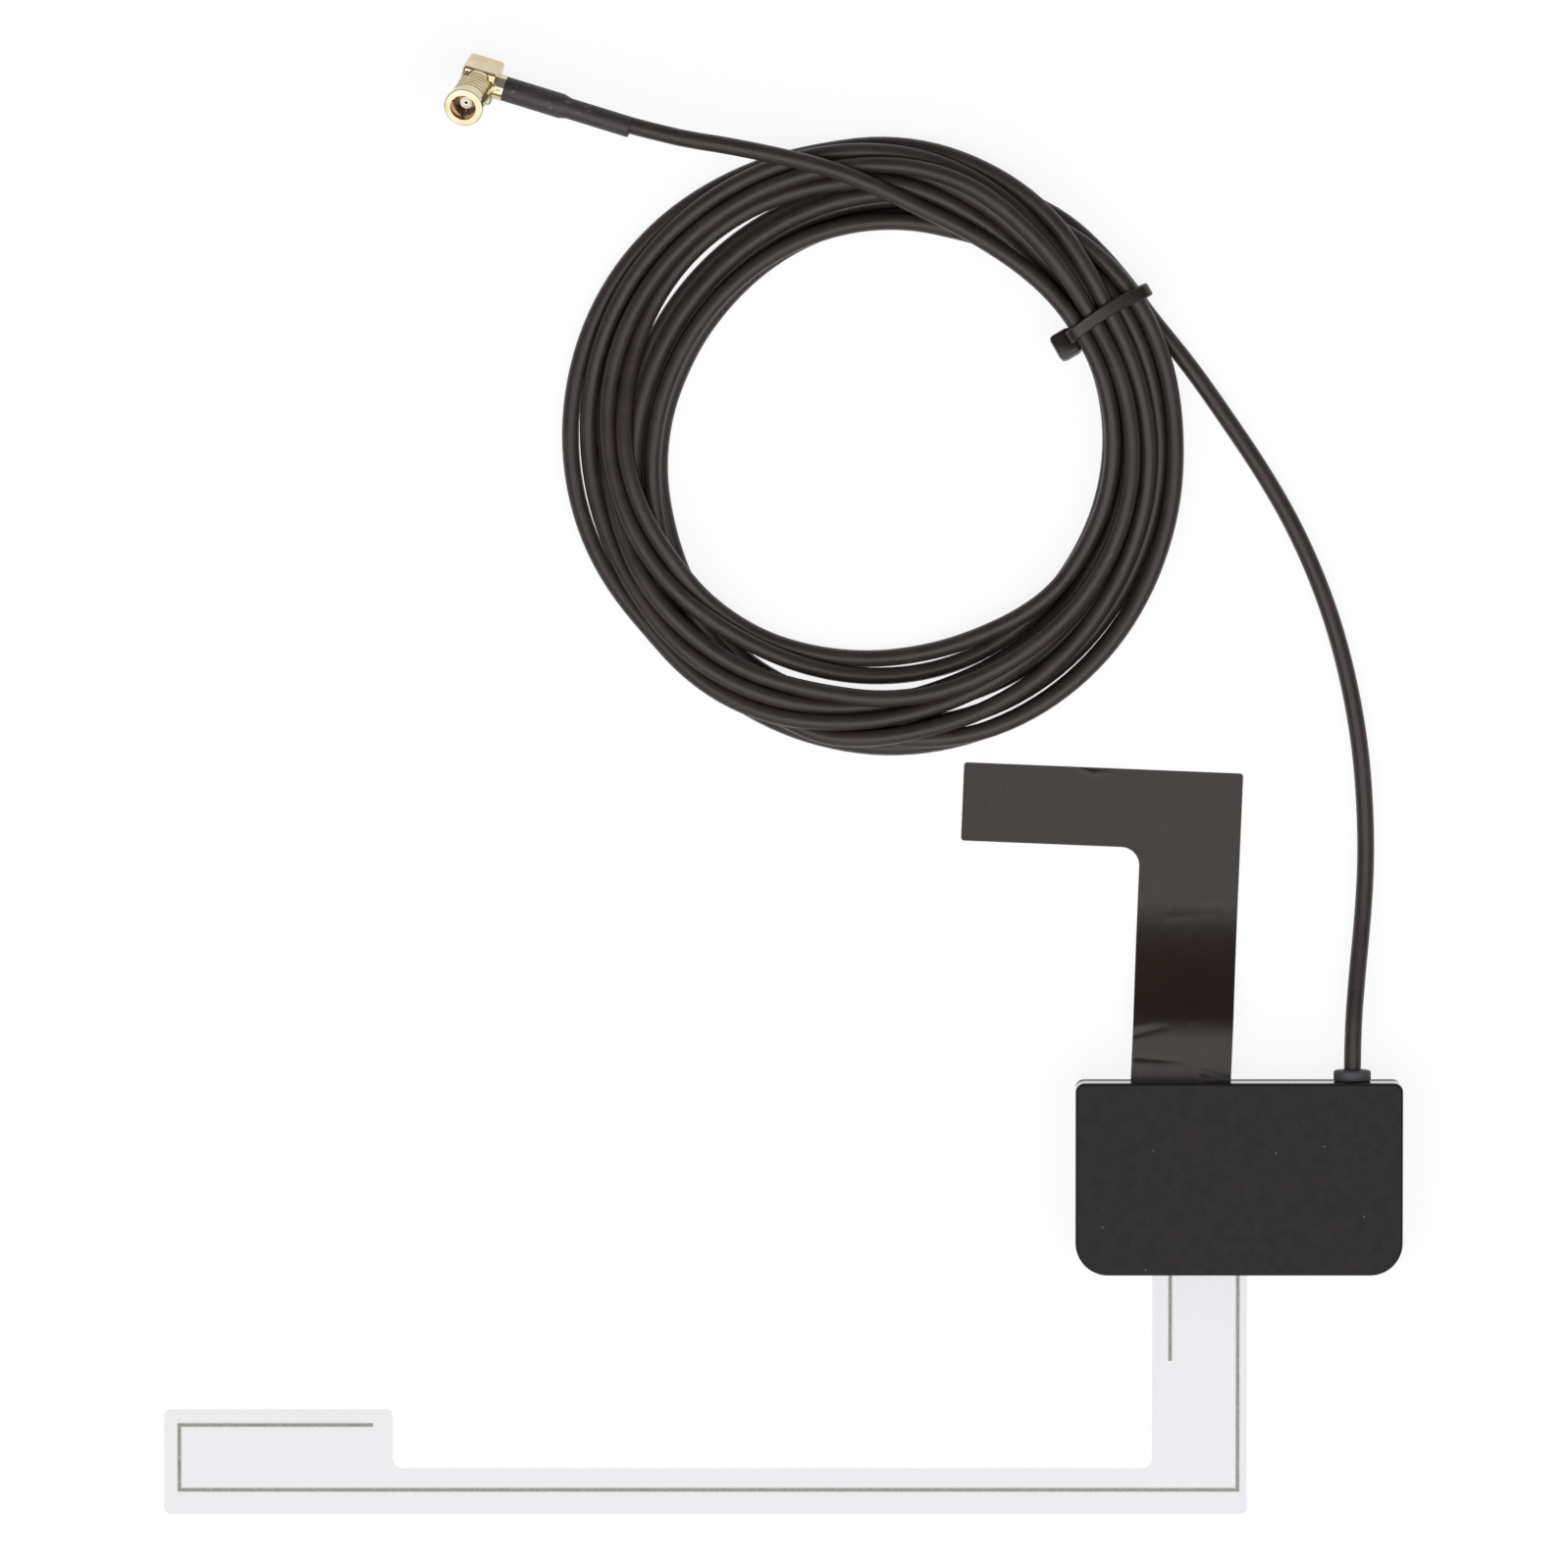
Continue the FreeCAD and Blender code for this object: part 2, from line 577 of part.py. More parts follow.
def adhesive_pad():
    body = new_body("adhesive_pad")
    housing_layer(body, "Pad", dim.base_inset + dim.pad_margin, 0, dim.pad_thickness)
    # The foam gives way over the film's stem.
    relief = add_rectangle(
        new_sketch(body),
        stem_left - dim.pad_clearance,
        dim.film_right + dim.pad_clearance,
        -dim.housing_width,
        film_end + dim.pad_clearance,
    )
    pocket(body, relief, trace_top, flip=True)
    for x in (long_trace_x, short_trace_x):
        contact_window(body, x, trace_top, dim.pad_thickness)


def gland_notch(body, length):
    # Round notch through the cable-side wall.
    sketch = new_sketch(body, "XZ_Plane", -(dim.housing_width / 2) - dim.gland_flange_length)
    add_circle(sketch, dim.gland_neck, gland_x, dim.parting_height)
    pocket(body, sketch, length + dim.gland_flange_length, flip=True)


def board_posts():
    return [
        (post_left, post_front), (post_right, post_front), (post_left, post_back), (post_right, post_slot),
    ]


def snap_sketch(body, gap, inner, outer, mirrored):
    # Section of a snap bead or of its groove, at one end of the housing.
    half = dim.snap_length / 2 + gap
    near = dim.housing_length / 2 - inner
    far = dim.housing_length / 2 - outer
    middle = dim.parting_height + dim.lip_height / 2
    sketch = new_sketch(body, height=middle - dim.snap_height / 2 - gap)
    if mirrored:
        return add_rectangle(sketch, -far, -near, -half, half)
    return add_rectangle(sketch, near, far, -half, half)


def housing_base():
    body = new_body("housing_base")
    housing_layer(body, "Pad", dim.base_inset, dim.pad_thickness, dim.parting_height - dim.pad_thickness)
    housing_layer(body, "Pad", lip_inset, dim.parting_height, dim.lip_height)
    housing_layer(body, "Pocket", cavity_inset, lip_top, lip_top - base_top)
    for x, y in board_posts():
        post = add_circle(new_sketch(body, height=base_top), dim.post_diameter, x, y)
        pad(body, post, board_under - base_top)
    for x in (long_trace_x, short_trace_x):
        contact_window(body, x, dim.pad_thickness, dim.base_floor)
    # Slit in the rim for the ground foil.
    half = dim.foil_leg_width / 2 + dim.foil_slit_clearance
    slit = add_rectangle(
        new_sketch(body, height=board_top),
        dim.foil_middle - half,
        dim.foil_middle + half,
        dim.housing_width / 2 - cavity_inset - dim.board_clearance,
        dim.housing_width / 2,
    )
    pocket(body, slit, lip_top - board_top, flip=True)
    gland_notch(body, cavity_inset)
    for mirrored in (False, True):
        bead = snap_sketch(body, 0, lip_inset + dim.lip_thickness / 2, lip_inset - dim.snap_depth, mirrored)
        pad(body, bead, dim.snap_height)


def housing_cover():
    body = new_body("housing_cover")
    housing_layer(body, "Pad", 0, dim.parting_height, dim.housing_height - dim.parting_height)
    round_edges(body, dim.crown_radius, flat_at("Z", dim.housing_height))
    inside_height = roof_under - dim.parting_height
    housing_layer(body, "Pocket", dim.housing_wall, dim.parting_height, inside_height, flip=True)
    # Pins that hold the board down on its posts.
    for x, y in board_posts():
        pin = add_circle(new_sketch(body, height=board_top), dim.post_diameter, x, y)
        pad(body, pin, roof_under - board_top)
    gland_notch(body, dim.housing_wall)
    gap = dim.snap_clearance
    for mirrored in (False, True):
        groove = snap_sketch(body, gap, dim.housing_wall, lip_inset - dim.snap_depth - gap, mirrored)
        pocket(body, groove, dim.snap_height + gap * 2, flip=True)


def circuit_board():
    body = new_body("circuit_board")
    housing_layer(body, "Pad", board_inset, board_under, dim.board_thickness)
    # Slot in which the bared coax lies, its conductor level with the board's top.
    half = dim.cable_diameter / 2 + dim.slot_clearance
    slot = add_rectangle(
        new_sketch(body, height=board_under),
        gland_x - half,
        gland_x + half,
        coax_face() - dim.dielectric_tail - dim.slot_clearance,
        dim.housing_width / 2,
    )
    pocket(body, slot, dim.board_thickness, flip=True)
    # Wider mouth of the slot round the gland's inner collar.
    half = dim.gland_collar / 2 + dim.slot_clearance
    mouth = add_rectangle(
        new_sketch(body, height=board_under),
        gland_x - half,
        gland_x + half,
        gland_inner_face() - dim.slot_clearance,
        dim.housing_width / 2,
    )
    pocket(body, mouth, dim.board_thickness, flip=True)


def contact_springs():
    # Leaf bent from strip: soldered foot under the board, sloping leaf, upturned tip on the film.
    strip = dim.contact_strip
    outline = [
        (contact_back, board_under - strip), (contact_knee, board_under - strip),
        (contact_tip, trace_top), (contact_end, trace_top + dim.contact_kick / 2),
        (contact_end, trace_top + dim.contact_kick / 2 + strip), (contact_tip, trace_top + strip),
        (contact_knee, board_under), (contact_back, board_under),
    ]
    for label, x in (("long_trace_contact", long_trace_x), ("short_trace_contact", short_trace_x)):
        body = new_body(label)
        pad(body, add_polygon(new_sketch(body, "YZ_Plane"), outline), dim.contact_width, both_ways=True)
        round_edges(body, strip, along_at("X", outline[2], outline[6]))
        place(body, x=x)


def on_board(label, x, y):
    body = new_body(label)
    place(body, x, y, board_top)
    return body


def amplifier_transistor():
    # Small moulded package with two leads on each side.
    body = on_board("amplifier_transistor", short_trace_x + dim.trace_pitch / 2, dim.chip_width)
    half_length = dim.chip_length / 2
    half_width = dim.chip_width / 2
    sketch = add_rectangle(
        new_sketch(body, height=dim.chip_stand), -half_length, half_length, -half_width, half_width
    )
    pad(body, sketch, dim.chip_height - dim.chip_stand)
    reach = half_width + dim.chip_lead_reach
    for side in (-1, 1):
        middle = dim.chip_lead_pitch / 2 * side
        half = dim.chip_lead / 2
        lead = add_rectangle(new_sketch(body), middle - half, middle + half, -reach, reach)
        pad(body, lead, dim.chip_stand + dim.chip_lead / 2)


def bias_choke():
    # Drum core with its winding between two flanges.
    body = on_board("bias_choke", post_right / 2, -dim.choke_diameter / 2)
    flange = dim.choke_diameter / 2
    winding = dim.choke_winding / 2
    profile = [
        (0, 0), (flange, 0), (flange, dim.choke_flange), (winding, dim.choke_flange),
        (winding, dim.choke_height - dim.choke_flange), (flange, dim.choke_height - dim.choke_flange),
        (flange, dim.choke_height), (0, dim.choke_height),
    ]
    revolve(body, add_polygon(new_sketch(body, "XZ_Plane"), profile), "V_Axis")


def chip_row(label, count, height, x, y):
    # Row of equal chip parts on the board, kept as separate solids in one group.
    boxes = []
    for index in range(count):
        box = doc.addObject("Part::Box", f"{label}_{index + 1}")
        bind(box, "Length", dim.passive_length)
        bind(box, "Width", dim.passive_width)
        bind(box, "Height", height)
        place(box, x + dim.passive_pitch * index, y, board_top)
        boxes.append(box)
    group = doc.addObject("Part::Compound", label)
    group.Label = label
    group.Links = boxes
    parts[label] = group


def chip_rows():
    left = post_left + dim.post_diameter
    chip_row("chip_capacitors", CAPACITORS, dim.capacitor_height, left, post_front)
    chip_row("chip_resistors", RESISTORS, dim.resistor_height, left, -dim.passive_width)


def ground_foil():
    # Laminated sheet, flat on the glass, that sweeps up to a crease, runs level to the slit and lies on the board's ground land.
    body = new_body("ground_foil")
    sheet_top = dim.foil_thickness
    bend_far = dim.foil_step + dim.foil_slope
    profile = [
        (-dim.foil_tuck - cavity_inset, board_top), (dim.foil_step, board_top), (bend_far, 0),
        (dim.foil_reach, 0), (dim.foil_reach, sheet_top), (bend_far, sheet_top),
        (dim.foil_step, board_top + sheet_top), (-dim.foil_tuck - cavity_inset, board_top + sheet_top),
    ]
    pad(body, add_polygon(new_sketch(body, "YZ_Plane"), profile), dim.foil_leg_width, both_ways=True)
    for corner, radius in (
        (profile[1], dim.foil_crease), (profile[6], dim.foil_crease + sheet_top),
        (profile[5], dim.foil_sweep), (profile[2], dim.foil_sweep + sheet_top),
    ):
        round_edges(body, radius, along_at("X", corner))
    half_leg = dim.foil_leg_width / 2
    arm_left = half_leg - dim.foil_arm_length
    arm_low = dim.foil_reach - dim.foil_arm_height
    arm = add_rectangle(new_sketch(body), arm_left, half_leg, arm_low, dim.foil_reach)
    pad(body, arm, sheet_top)
    round_edges(body, dim.foil_inner_corner, upright_at((-half_leg, arm_low)))
    outer = [(arm_left, arm_low), (arm_left, dim.foil_reach), (half_leg, dim.foil_reach)]
    round_edges(body, dim.foil_outer_corner, upright_at(*outer))
    place(body, dim.foil_middle, dim.housing_width / 2, 0, dim.foil_turn)


def gland_inner_face():
    return dim.housing_width / 2 - cavity_inset - dim.gland_collar_length


def coax_face():
    # Cut end of the cable's jacket inside the housing.
    return gland_inner_face() - dim.jacket_tail


def cable_gland():
    # Moulded grommet: outer flange, neck held between the shells, inner collar.
    body = new_body("cable_gland")
    wall = dim.housing_width / 2
    inner = gland_inner_face()
    bore = dim.cable_diameter / 2
    profile = [
        (bore, inner), (dim.gland_collar / 2, inner), (dim.gland_collar / 2, wall - cavity_inset),
        (dim.gland_neck / 2, wall - cavity_inset), (dim.gland_neck / 2, wall),
        (dim.gland_flange / 2, wall), (dim.gland_flange / 2, wall + dim.gland_flange_length),
        (bore, wall + dim.gland_flange_length),
    ]
    revolve(body, add_polygon(new_sketch(body), profile), "V_Axis")
    rim = number(dim.gland_flange)

    def flange_rim(edge):
        return len(edge.Vertexes) == 1 and abs(edge.BoundBox.XLength - rim) < 1e-3

    round_edges(body, dim.gland_edge, flange_rim)
    place(body, gland_x, 0, dim.parting_height)


def tube(label, outer, inner, length):
    # Plain tube or rod, from the body's own origin along its +Z.
    body = new_body(label)
    sketch = add_circle(new_sketch(body), outer)
    if inner is not None:
        add_circle(sketch, inner)
    pad(body, sketch, length)
    return body


def bared_coax():
    # Stripped end of the cable on the board, layer by layer.
    layers = [
        ("coax_braid", dim.braid_diameter, dim.dielectric_diameter, dim.braid_tail),
        ("coax_dielectric", dim.dielectric_diameter, dim.conductor_diameter, dim.dielectric_tail),
        ("coax_conductor", dim.conductor_diameter, None, dim.conductor_tail),
    ]
    for label, outer, inner, length in layers:
        body = tube(label, outer, inner, length)
        place(body, gland_x, coax_face(), dim.parting_height)
        body.Placement.Rotation = FreeCAD.Rotation(Vector(1, 0, 0), 90)


def rounded_path(points):
    # Straight runs joined by the largest tangent arcs that the shorter run allows.
    edges = []
    radii = []
    start = points[0]
    for before, corner, after in zip(points, points[1:], points[2:]):
        back = (before - corner).normalize()
        ahead = (after - corner).normalize()
        reach = BEND_SHARE * min((before - corner).Length, (after - corner).Length)
        half_turn = (math.pi - back.getAngle(ahead)) / 2
        radius = reach / math.tan(half_turn)
        inward = (back + ahead).normalize()
        arc_start = corner + back * reach
        arc_end = corner + ahead * reach
        arc_middle = corner + inward * (radius / math.cos(half_turn) - radius)
        edges.append(Part.LineSegment(start, arc_start).toShape())
        edges.append(Part.Arc(arc_start, arc_middle, arc_end).toShape())
        radii.append(round(radius, 1))
        start = arc_end
    edges.append(Part.LineSegment(start, points[-1]).toShape())
    return Part.Wire(edges), radii


def cable_run(label, points):
    # Solid cable along its route.
    path, radii = rounded_path(points)
    radius = number(dim.cable_diameter) / 2
    circle = Part.Circle(points[0], (points[1] - points[0]).normalize(), radius)
    section = Part.Wire([circle.toShape()])
    run = doc.addObject("Part::Feature", label)
    run.Label = label
    run.Shape = path.makePipeShell([section], True, False)
    volume_ratio = run.Shape.Volume / (math.pi * radius**2 * path.Length)
    print(label, "length", round(path.Length, 1), "radii", radii, "volume ratio", round(volume_ratio, 6))
    parts[label] = run


def plug_placement():
    middle = Vector(number(dim.plug_x), number(dim.plug_y), number(dim.plug_z))
    turn = FreeCAD.Rotation(number(dim.plug_yaw), number(dim.plug_pitch), number(dim.plug_roll))
    return FreeCAD.Placement(middle, turn)


def on_plug(body, turn=None):
    # Sets a piece into the plug's own frame, where the plug lies.
    own = FreeCAD.Placement(Vector(0, 0, 0), turn) if turn else FreeCAD.Placement()
    body.Placement = plug_placement() * own
    for axis, size in (("x", dim.plug_x), ("y", dim.plug_y), ("z", dim.plug_z)):
        body.setExpression(f"Placement.Base.{axis}", size.text)


def lead_and_tail():
    start = Vector(number(gland_x), number(coax_face()), number(dim.parting_height))
    bend = start + Vector(0, LEAD_STRAIGHT, 0)
    cable_run("cable_lead", [start, bend] + [Vector(*point) for point in LEAD_ROUTE])
    tail_start = plug_placement().multVec(Vector(number(ferrule_end), 0, 0))
    straight_end = plug_placement().multVec(Vector(number(ferrule_end) + TAIL_STRAIGHT, 0, 0))
    tail = [tail_start, straight_end] + [Vector(*point) for point in TAIL_ROUTE]
    cable_run("cable_tail", tail)


def cable_coil():
    # Outer shape of the tied hank, with seats for the strap and for the two ends of the cable.
    ring = doc.addObject("PartDesign::Body", "coil_ring")
    ring.Label = "coil_ring"
    pad(ring, add_oval(new_sketch(ring), dim.coil_long, dim.coil_short), dim.coil_height)
    hole = new_sketch(ring, x=-dim.coil_hole_shift)
    pocket(ring, add_oval(hole, dim.coil_hole_long, dim.coil_hole_short), dim.coil_height, flip=True)
    round_edges(ring, dim.coil_round, flat_at("Z", 0, dim.coil_height))
    place(ring, dim.coil_x, dim.coil_y, 0, dim.coil_turn)
    seat = doc.addObject("PartDesign::Body", "strap_seat")
    seat.Label = "strap_seat"
    half = dim.tie_width / 2 + dim.tie_clearance
    under = add_rectangle(new_sketch(seat), dim.tie_inner / 2, dim.tie_outer * 2, -half, half)
    pad(seat, under, dim.tie_strap + dim.tie_clearance)
    place(seat, dim.coil_x, dim.coil_y, 0, dim.tie_angle)
    solid = ring
    tools = [
        ("coil_on_strap", seat),
        ("coil_round_lead", parts["cable_lead"]),
        ("cable_coil", parts["cable_tail"]),
    ]
    for label, tool in tools:
        cut = doc.addObject("Part::Cut", label)
        cut.Label = label
        cut.Base = solid
        cut.Tool = tool
        solid = cut
    doc.recompute()
    parts["cable_coil"] = solid


def cable_tie():
    # Strap round the hank with its ratchet head on the inside.
    body = new_body("cable_tie")
    strap = dim.tie_strap
    near = dim.tie_inner - strap
    far = dim.tie_outer + strap
    inside_top = dim.coil_height + dim.tie_clearance
    sketch = new_sketch(body, "XZ_Plane")
    add_rectangle(sketch, near, far, 0, inside_top + strap)
    add_rectangle(sketch, dim.tie_inner, dim.tie_outer, strap, inside_top)
    pad(body, sketch, dim.tie_width, both_ways=True)
    inner_corners = [(x, z) for x in (dim.tie_inner, dim.tie_outer) for z in (strap, inside_top)]
    round_edges(body, dim.tie_corner - strap, along_at("Y", *inner_corners))
    outer_corners = [(x, z) for x in (near, far) for z in (0, inside_top + strap)]
    round_edges(body, dim.tie_corner, along_at("Y", *outer_corners))
    half = dim.tie_head_width / 2
    head_near = near - dim.tie_head_length
    head_far = near + strap / 2
    head = add_rectangle(new_sketch(body, height=dim.tie_head_lift), head_near, head_far, -half, half)
    pad(body, head, dim.tie_head_height)
    corners = [(head_near, -half), (head_near, half)]
    round_edges(body, dim.tie_head_edge, upright_at(*corners))
    # Mouth of the head, where the trimmed strap comes through.
    slot_near = head_near + (dim.tie_head_length - strap) / 2
    slot_half = dim.tie_width / 2
    head_top = dim.tie_head_lift + dim.tie_head_height
    slot = new_sketch(body, height=head_top)
    pocket(body, add_rectangle(slot, slot_near, slot_near + strap, -slot_half, slot_half), strap)
    place(body, dim.coil_x, dim.coil_y, 0, dim.tie_angle)


# Stations along the plug's own axes: X follows the cable, Z the barrel.
shoulder_end = dim.block_length / 2 + dim.collar_length
ferrule_end = shoulder_end + dim.ferrule_length
spigot_end = shoulder_end + dim.spigot_length
stub_end = dim.block_front + dim.stub_length
chamber_end = dim.solder_depth - dim.block_back
nose_end = dim.barrel_reach - dim.socket_depth
rim_start = dim.barrel_reach - dim.rim_length


def plug_body():
    # Elbow block with its round shoulder, crimp spigot and barrel stub, bored both ways.
    body = new_body("plug_body")
    half_length = dim.block_length / 2
    half_width = dim.block_width / 2
    sketch = new_sketch(body, height=-dim.block_back)
    add_rectangle(sketch, -half_length, half_length, -half_width, half_width)
    pad(body, sketch, dim.block_back + dim.block_front)
    round_edges(body, dim.block_edge, lambda edge: True)
    pad(body, add_circle(new_sketch(body, "YZ_Plane"), dim.collar_diameter), shoulder_end)
    pad(body, add_circle(new_sketch(body, "YZ_Plane"), dim.spigot_diameter), spigot_end)
    pad(body, add_circle(new_sketch(body), dim.stub_diameter), stub_end)
    chamber = add_circle(new_sketch(body, height=-dim.block_back), dim.solder_bore)
    pocket(body, chamber, dim.solder_depth, flip=True)
    insulator_seat = add_circle(new_sketch(body, height=stub_end), dim.insulator_diameter)
    pocket(body, insulator_seat, stub_end - chamber_end)
    cable_bore = add_circle(new_sketch(body, "YZ_Plane", spigot_end), dim.dielectric_diameter)
    pocket(body, cable_bore, spigot_end)
    on_plug(body)


def plug_turned(label, profile, axis):
    # Turned plug piece, about its own X or Z.
    body = new_body(label)
    revolve(body, add_polygon(new_sketch(body, "XZ_Plane"), profile), axis)
    on_plug(body)
    return body


def plug_barrel():
    stub = dim.stub_diameter / 2
    barrel = dim.barrel_diameter / 2
    groove = barrel - dim.groove_depth
    rim = dim.rim_diameter / 2
    mouth = dim.mouth_diameter / 2
    profile = [(stub, rim_start), (stub, dim.block_front), (barrel, dim.block_front)]
    for index in range(GRIP_GROOVES):
        low = dim.block_front + dim.groove_pitch * (index + 1)
        high = low + dim.groove_width
        profile += [(barrel, low), (groove, low), (groove, high), (barrel, high)]
    profile += [
        (barrel, rim_start), (rim, rim_start), (rim, dim.barrel_reach),
        (mouth, dim.barrel_reach), (mouth, rim_start),
    ]
    body = plug_turned("coupling_sleeve", profile, "V_Axis")
    wide = number(dim.rim_diameter)

    def rim_circle(edge):
        return len(edge.Vertexes) == 1 and abs(edge.BoundBox.XLength - wide) < 1e-3

    round_edges(body, dim.rim_edge, rim_circle)


def contact_collet():
    # Spring ring whose four fingers snap over the mating socket.
    body = new_body("contact_collet")
    outer = dim.stub_diameter - dim.collet_clearance * 2
    ring = add_circle(new_sketch(body, height=stub_end), outer)
    add_circle(ring, dim.collet_bore)
    length = rim_start - dim.collet_clearance - stub_end
    pad(body, ring, length)
    half = dim.collet_slot / 2
    for across, along in ((outer, half), (half, outer)):
        slot = new_sketch(body, height=stub_end + dim.collet_ring)
        pocket(body, add_rectangle(slot, -across, across, -along, along), length, flip=True)
    on_plug(body)


def plug_inside():
    pin = dim.contact_diameter / 2
    hole = dim.contact_hole / 2
    insulator = dim.insulator_diameter / 2
    nose = dim.nose_diameter / 2
    insulator_end = chamber_end + dim.insulator_length
    plug_turned("connector_insulator", [
        (pin, chamber_end), (insulator, chamber_end), (insulator, insulator_end),
        (nose, insulator_end), (nose, nose_end), (pin, nose_end),
    ], "V_Axis")
    hole_end = nose_end - dim.contact_hole_depth
    plug_turned("centre_contact", [
        (0, -dim.contact_diameter), (pin, -dim.contact_diameter), (pin, nose_end),
        (hole, nose_end), (hole, hole_end), (0, hole_end),
    ], "V_Axis")
    cap = dim.solder_bore / 2
    cap_front = dim.cap_thickness - dim.block_back
    plug_turned("connector_cap", [
        (0, -dim.block_back), (cap, -dim.block_back), (cap, cap_front), (0, cap_front),
    ], "V_Axis")


def plug_cable_end():
    # Cable layers inside the plug, the crimped ferrule and the heat-shrink over it.
    conductor = dim.conductor_diameter / 2
    dielectric = dim.dielectric_diameter / 2
    spigot = dim.spigot_diameter / 2
    jacket = dim.cable_diameter / 2
    ferrule = jacket + dim.ferrule_wall
    layers = [
        ("plug_dielectric", dim.solder_bore / 2, conductor, dielectric),
        ("plug_braid", shoulder_end, spigot, jacket),
        ("crimp_ferrule", shoulder_end, jacket, ferrule),
        ("plug_conductor", dim.contact_diameter / 2, 0, conductor),
    ]
    for label, start, inner, outer in layers:
        profile = [(start, inner), (ferrule_end, inner), (ferrule_end, outer), (start, outer)]
        plug_turned(label, profile, "H_Axis")
    wall = dim.shrink_wall
    shrink_end = shoulder_end + dim.shrink_length
    plug_turned("heat_shrink_sleeve", [
        (shoulder_end, ferrule), (ferrule_end, ferrule), (ferrule_end, jacket), (shrink_end, jacket),
        (shrink_end, jacket + wall), (ferrule_end + dim.shrink_taper, jacket + wall),
        (ferrule_end, ferrule + wall), (shoulder_end, ferrule + wall),
    ], "H_Axis")


BUILD_ORDER = [
    antenna_film, printed_traces, adhesive_pad, housing_base, housing_cover, circuit_board,
    contact_springs, amplifier_transistor, bias_choke, ground_foil, cable_gland, bared_coax,
    lead_and_tail, cable_coil, cable_tie, plug_body, plug_barrel, contact_collet, plug_inside,
    plug_cable_end, chip_rows,
]
for build in BUILD_ORDER:
    build()
doc.recompute()

for item in doc.Objects:
    if "Invalid" in item.State or "Error" in item.State:
        raise RuntimeError(f"{item.Label}: {item.State}")
for label, item in parts.items():
    if item.Shape.isNull() or not item.Shape.isValid():
        raise RuntimeError(f"{label}: no valid shape")

os.makedirs("parts", exist_ok=True)
for label, item in parts.items():
    item.Shape.exportStep(f"parts/{label}.step")
print(len(parts), "parts written")
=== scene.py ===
# Windscreen radio aerial laid flat on a pale table: its finishes, the tied lead, the light and the camera.
import math

import bmesh
import bpy
import numpy as np
from mathutils import Matrix, Vector


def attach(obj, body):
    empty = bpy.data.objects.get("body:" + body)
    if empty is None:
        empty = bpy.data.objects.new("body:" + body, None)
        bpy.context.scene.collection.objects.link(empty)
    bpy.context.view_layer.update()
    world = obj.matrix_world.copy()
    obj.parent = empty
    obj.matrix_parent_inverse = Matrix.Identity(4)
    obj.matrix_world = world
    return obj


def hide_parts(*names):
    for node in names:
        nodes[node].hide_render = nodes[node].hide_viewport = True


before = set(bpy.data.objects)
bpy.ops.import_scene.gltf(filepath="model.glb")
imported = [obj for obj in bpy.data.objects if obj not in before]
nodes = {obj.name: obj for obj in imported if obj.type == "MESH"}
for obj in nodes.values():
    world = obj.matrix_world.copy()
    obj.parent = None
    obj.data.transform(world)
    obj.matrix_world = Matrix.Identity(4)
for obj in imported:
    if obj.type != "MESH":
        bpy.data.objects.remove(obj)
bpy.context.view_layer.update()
mm = 0.001
print("frame loaded with", len(nodes), "parts")


def linear(code):
    # sRGB hex to the linear colour that a shader takes
    parts = [int(code[i:i + 2], 16) / 255 for i in (1, 3, 5)]
    return [c / 12.92 if c <= 0.04045 else ((c + 0.055) / 1.055) ** 2.4 for c in parts] + [1.0]


def perSize(millimetres):
    # texture scale whose pattern is about this wide
    return 1000 / millimetres


def linkTo(tree, node, links):
    # takes each named socket of the node to another node's output
    for name, source in links.items():
        tree.links.new(source, node.inputs[name])


def addNode(tree, kind, settings=None, links=None):
    # settings go to the sockets or attributes of that name, and stops are places and colours along a ramp
    node = tree.nodes.new("ShaderNode" + kind)
    for name, value in (settings or {}).items():
        if name == "stops":
            for element, (spot, colour) in zip(node.color_ramp.elements, value):
                element.position = spot
                element.color = linear(colour) if isinstance(colour, str) else [colour] * 3 + [1]
        elif isinstance(name, int) or name in node.inputs:
            node.inputs[name].default_value = value
        else:
            setattr(node, name, value)
    linkTo(tree, node, links or {})
    return node


def startMaterial(name, settings):
    # a material with one principled shader, and the object's own coordinates
    material = bpy.data.materials.new(name)
    material.use_nodes = True
    tree = material.node_tree
    tree.nodes.clear()
    shader = addNode(tree, "BsdfPrincipled", settings)
    addNode(tree, "OutputMaterial", links={"Surface": shader.outputs[0]})
    place = addNode(tree, "TexCoord").outputs["Object"]
    return material, tree, shader, place


shells = {  # the cover's walls are smooth and polished, the base is dull all over
    "housing_base": {
        "dark": "#272324", "light": "#2f2a2b", "sheen": 0.1, "wallRoughness": 0.8, "wallPolish": 0,
    },
    "housing_cover": {
        "dark": "#100d0d", "light": "#1e191a", "sheen": 0.2, "wallRoughness": 0.18, "wallPolish": 1.0,
    },
}
dust = {"apart": 6.5, "radius": 0.1105, "share": 0.26, "colour": "#6f6c69"}  # millimetres, and how many show


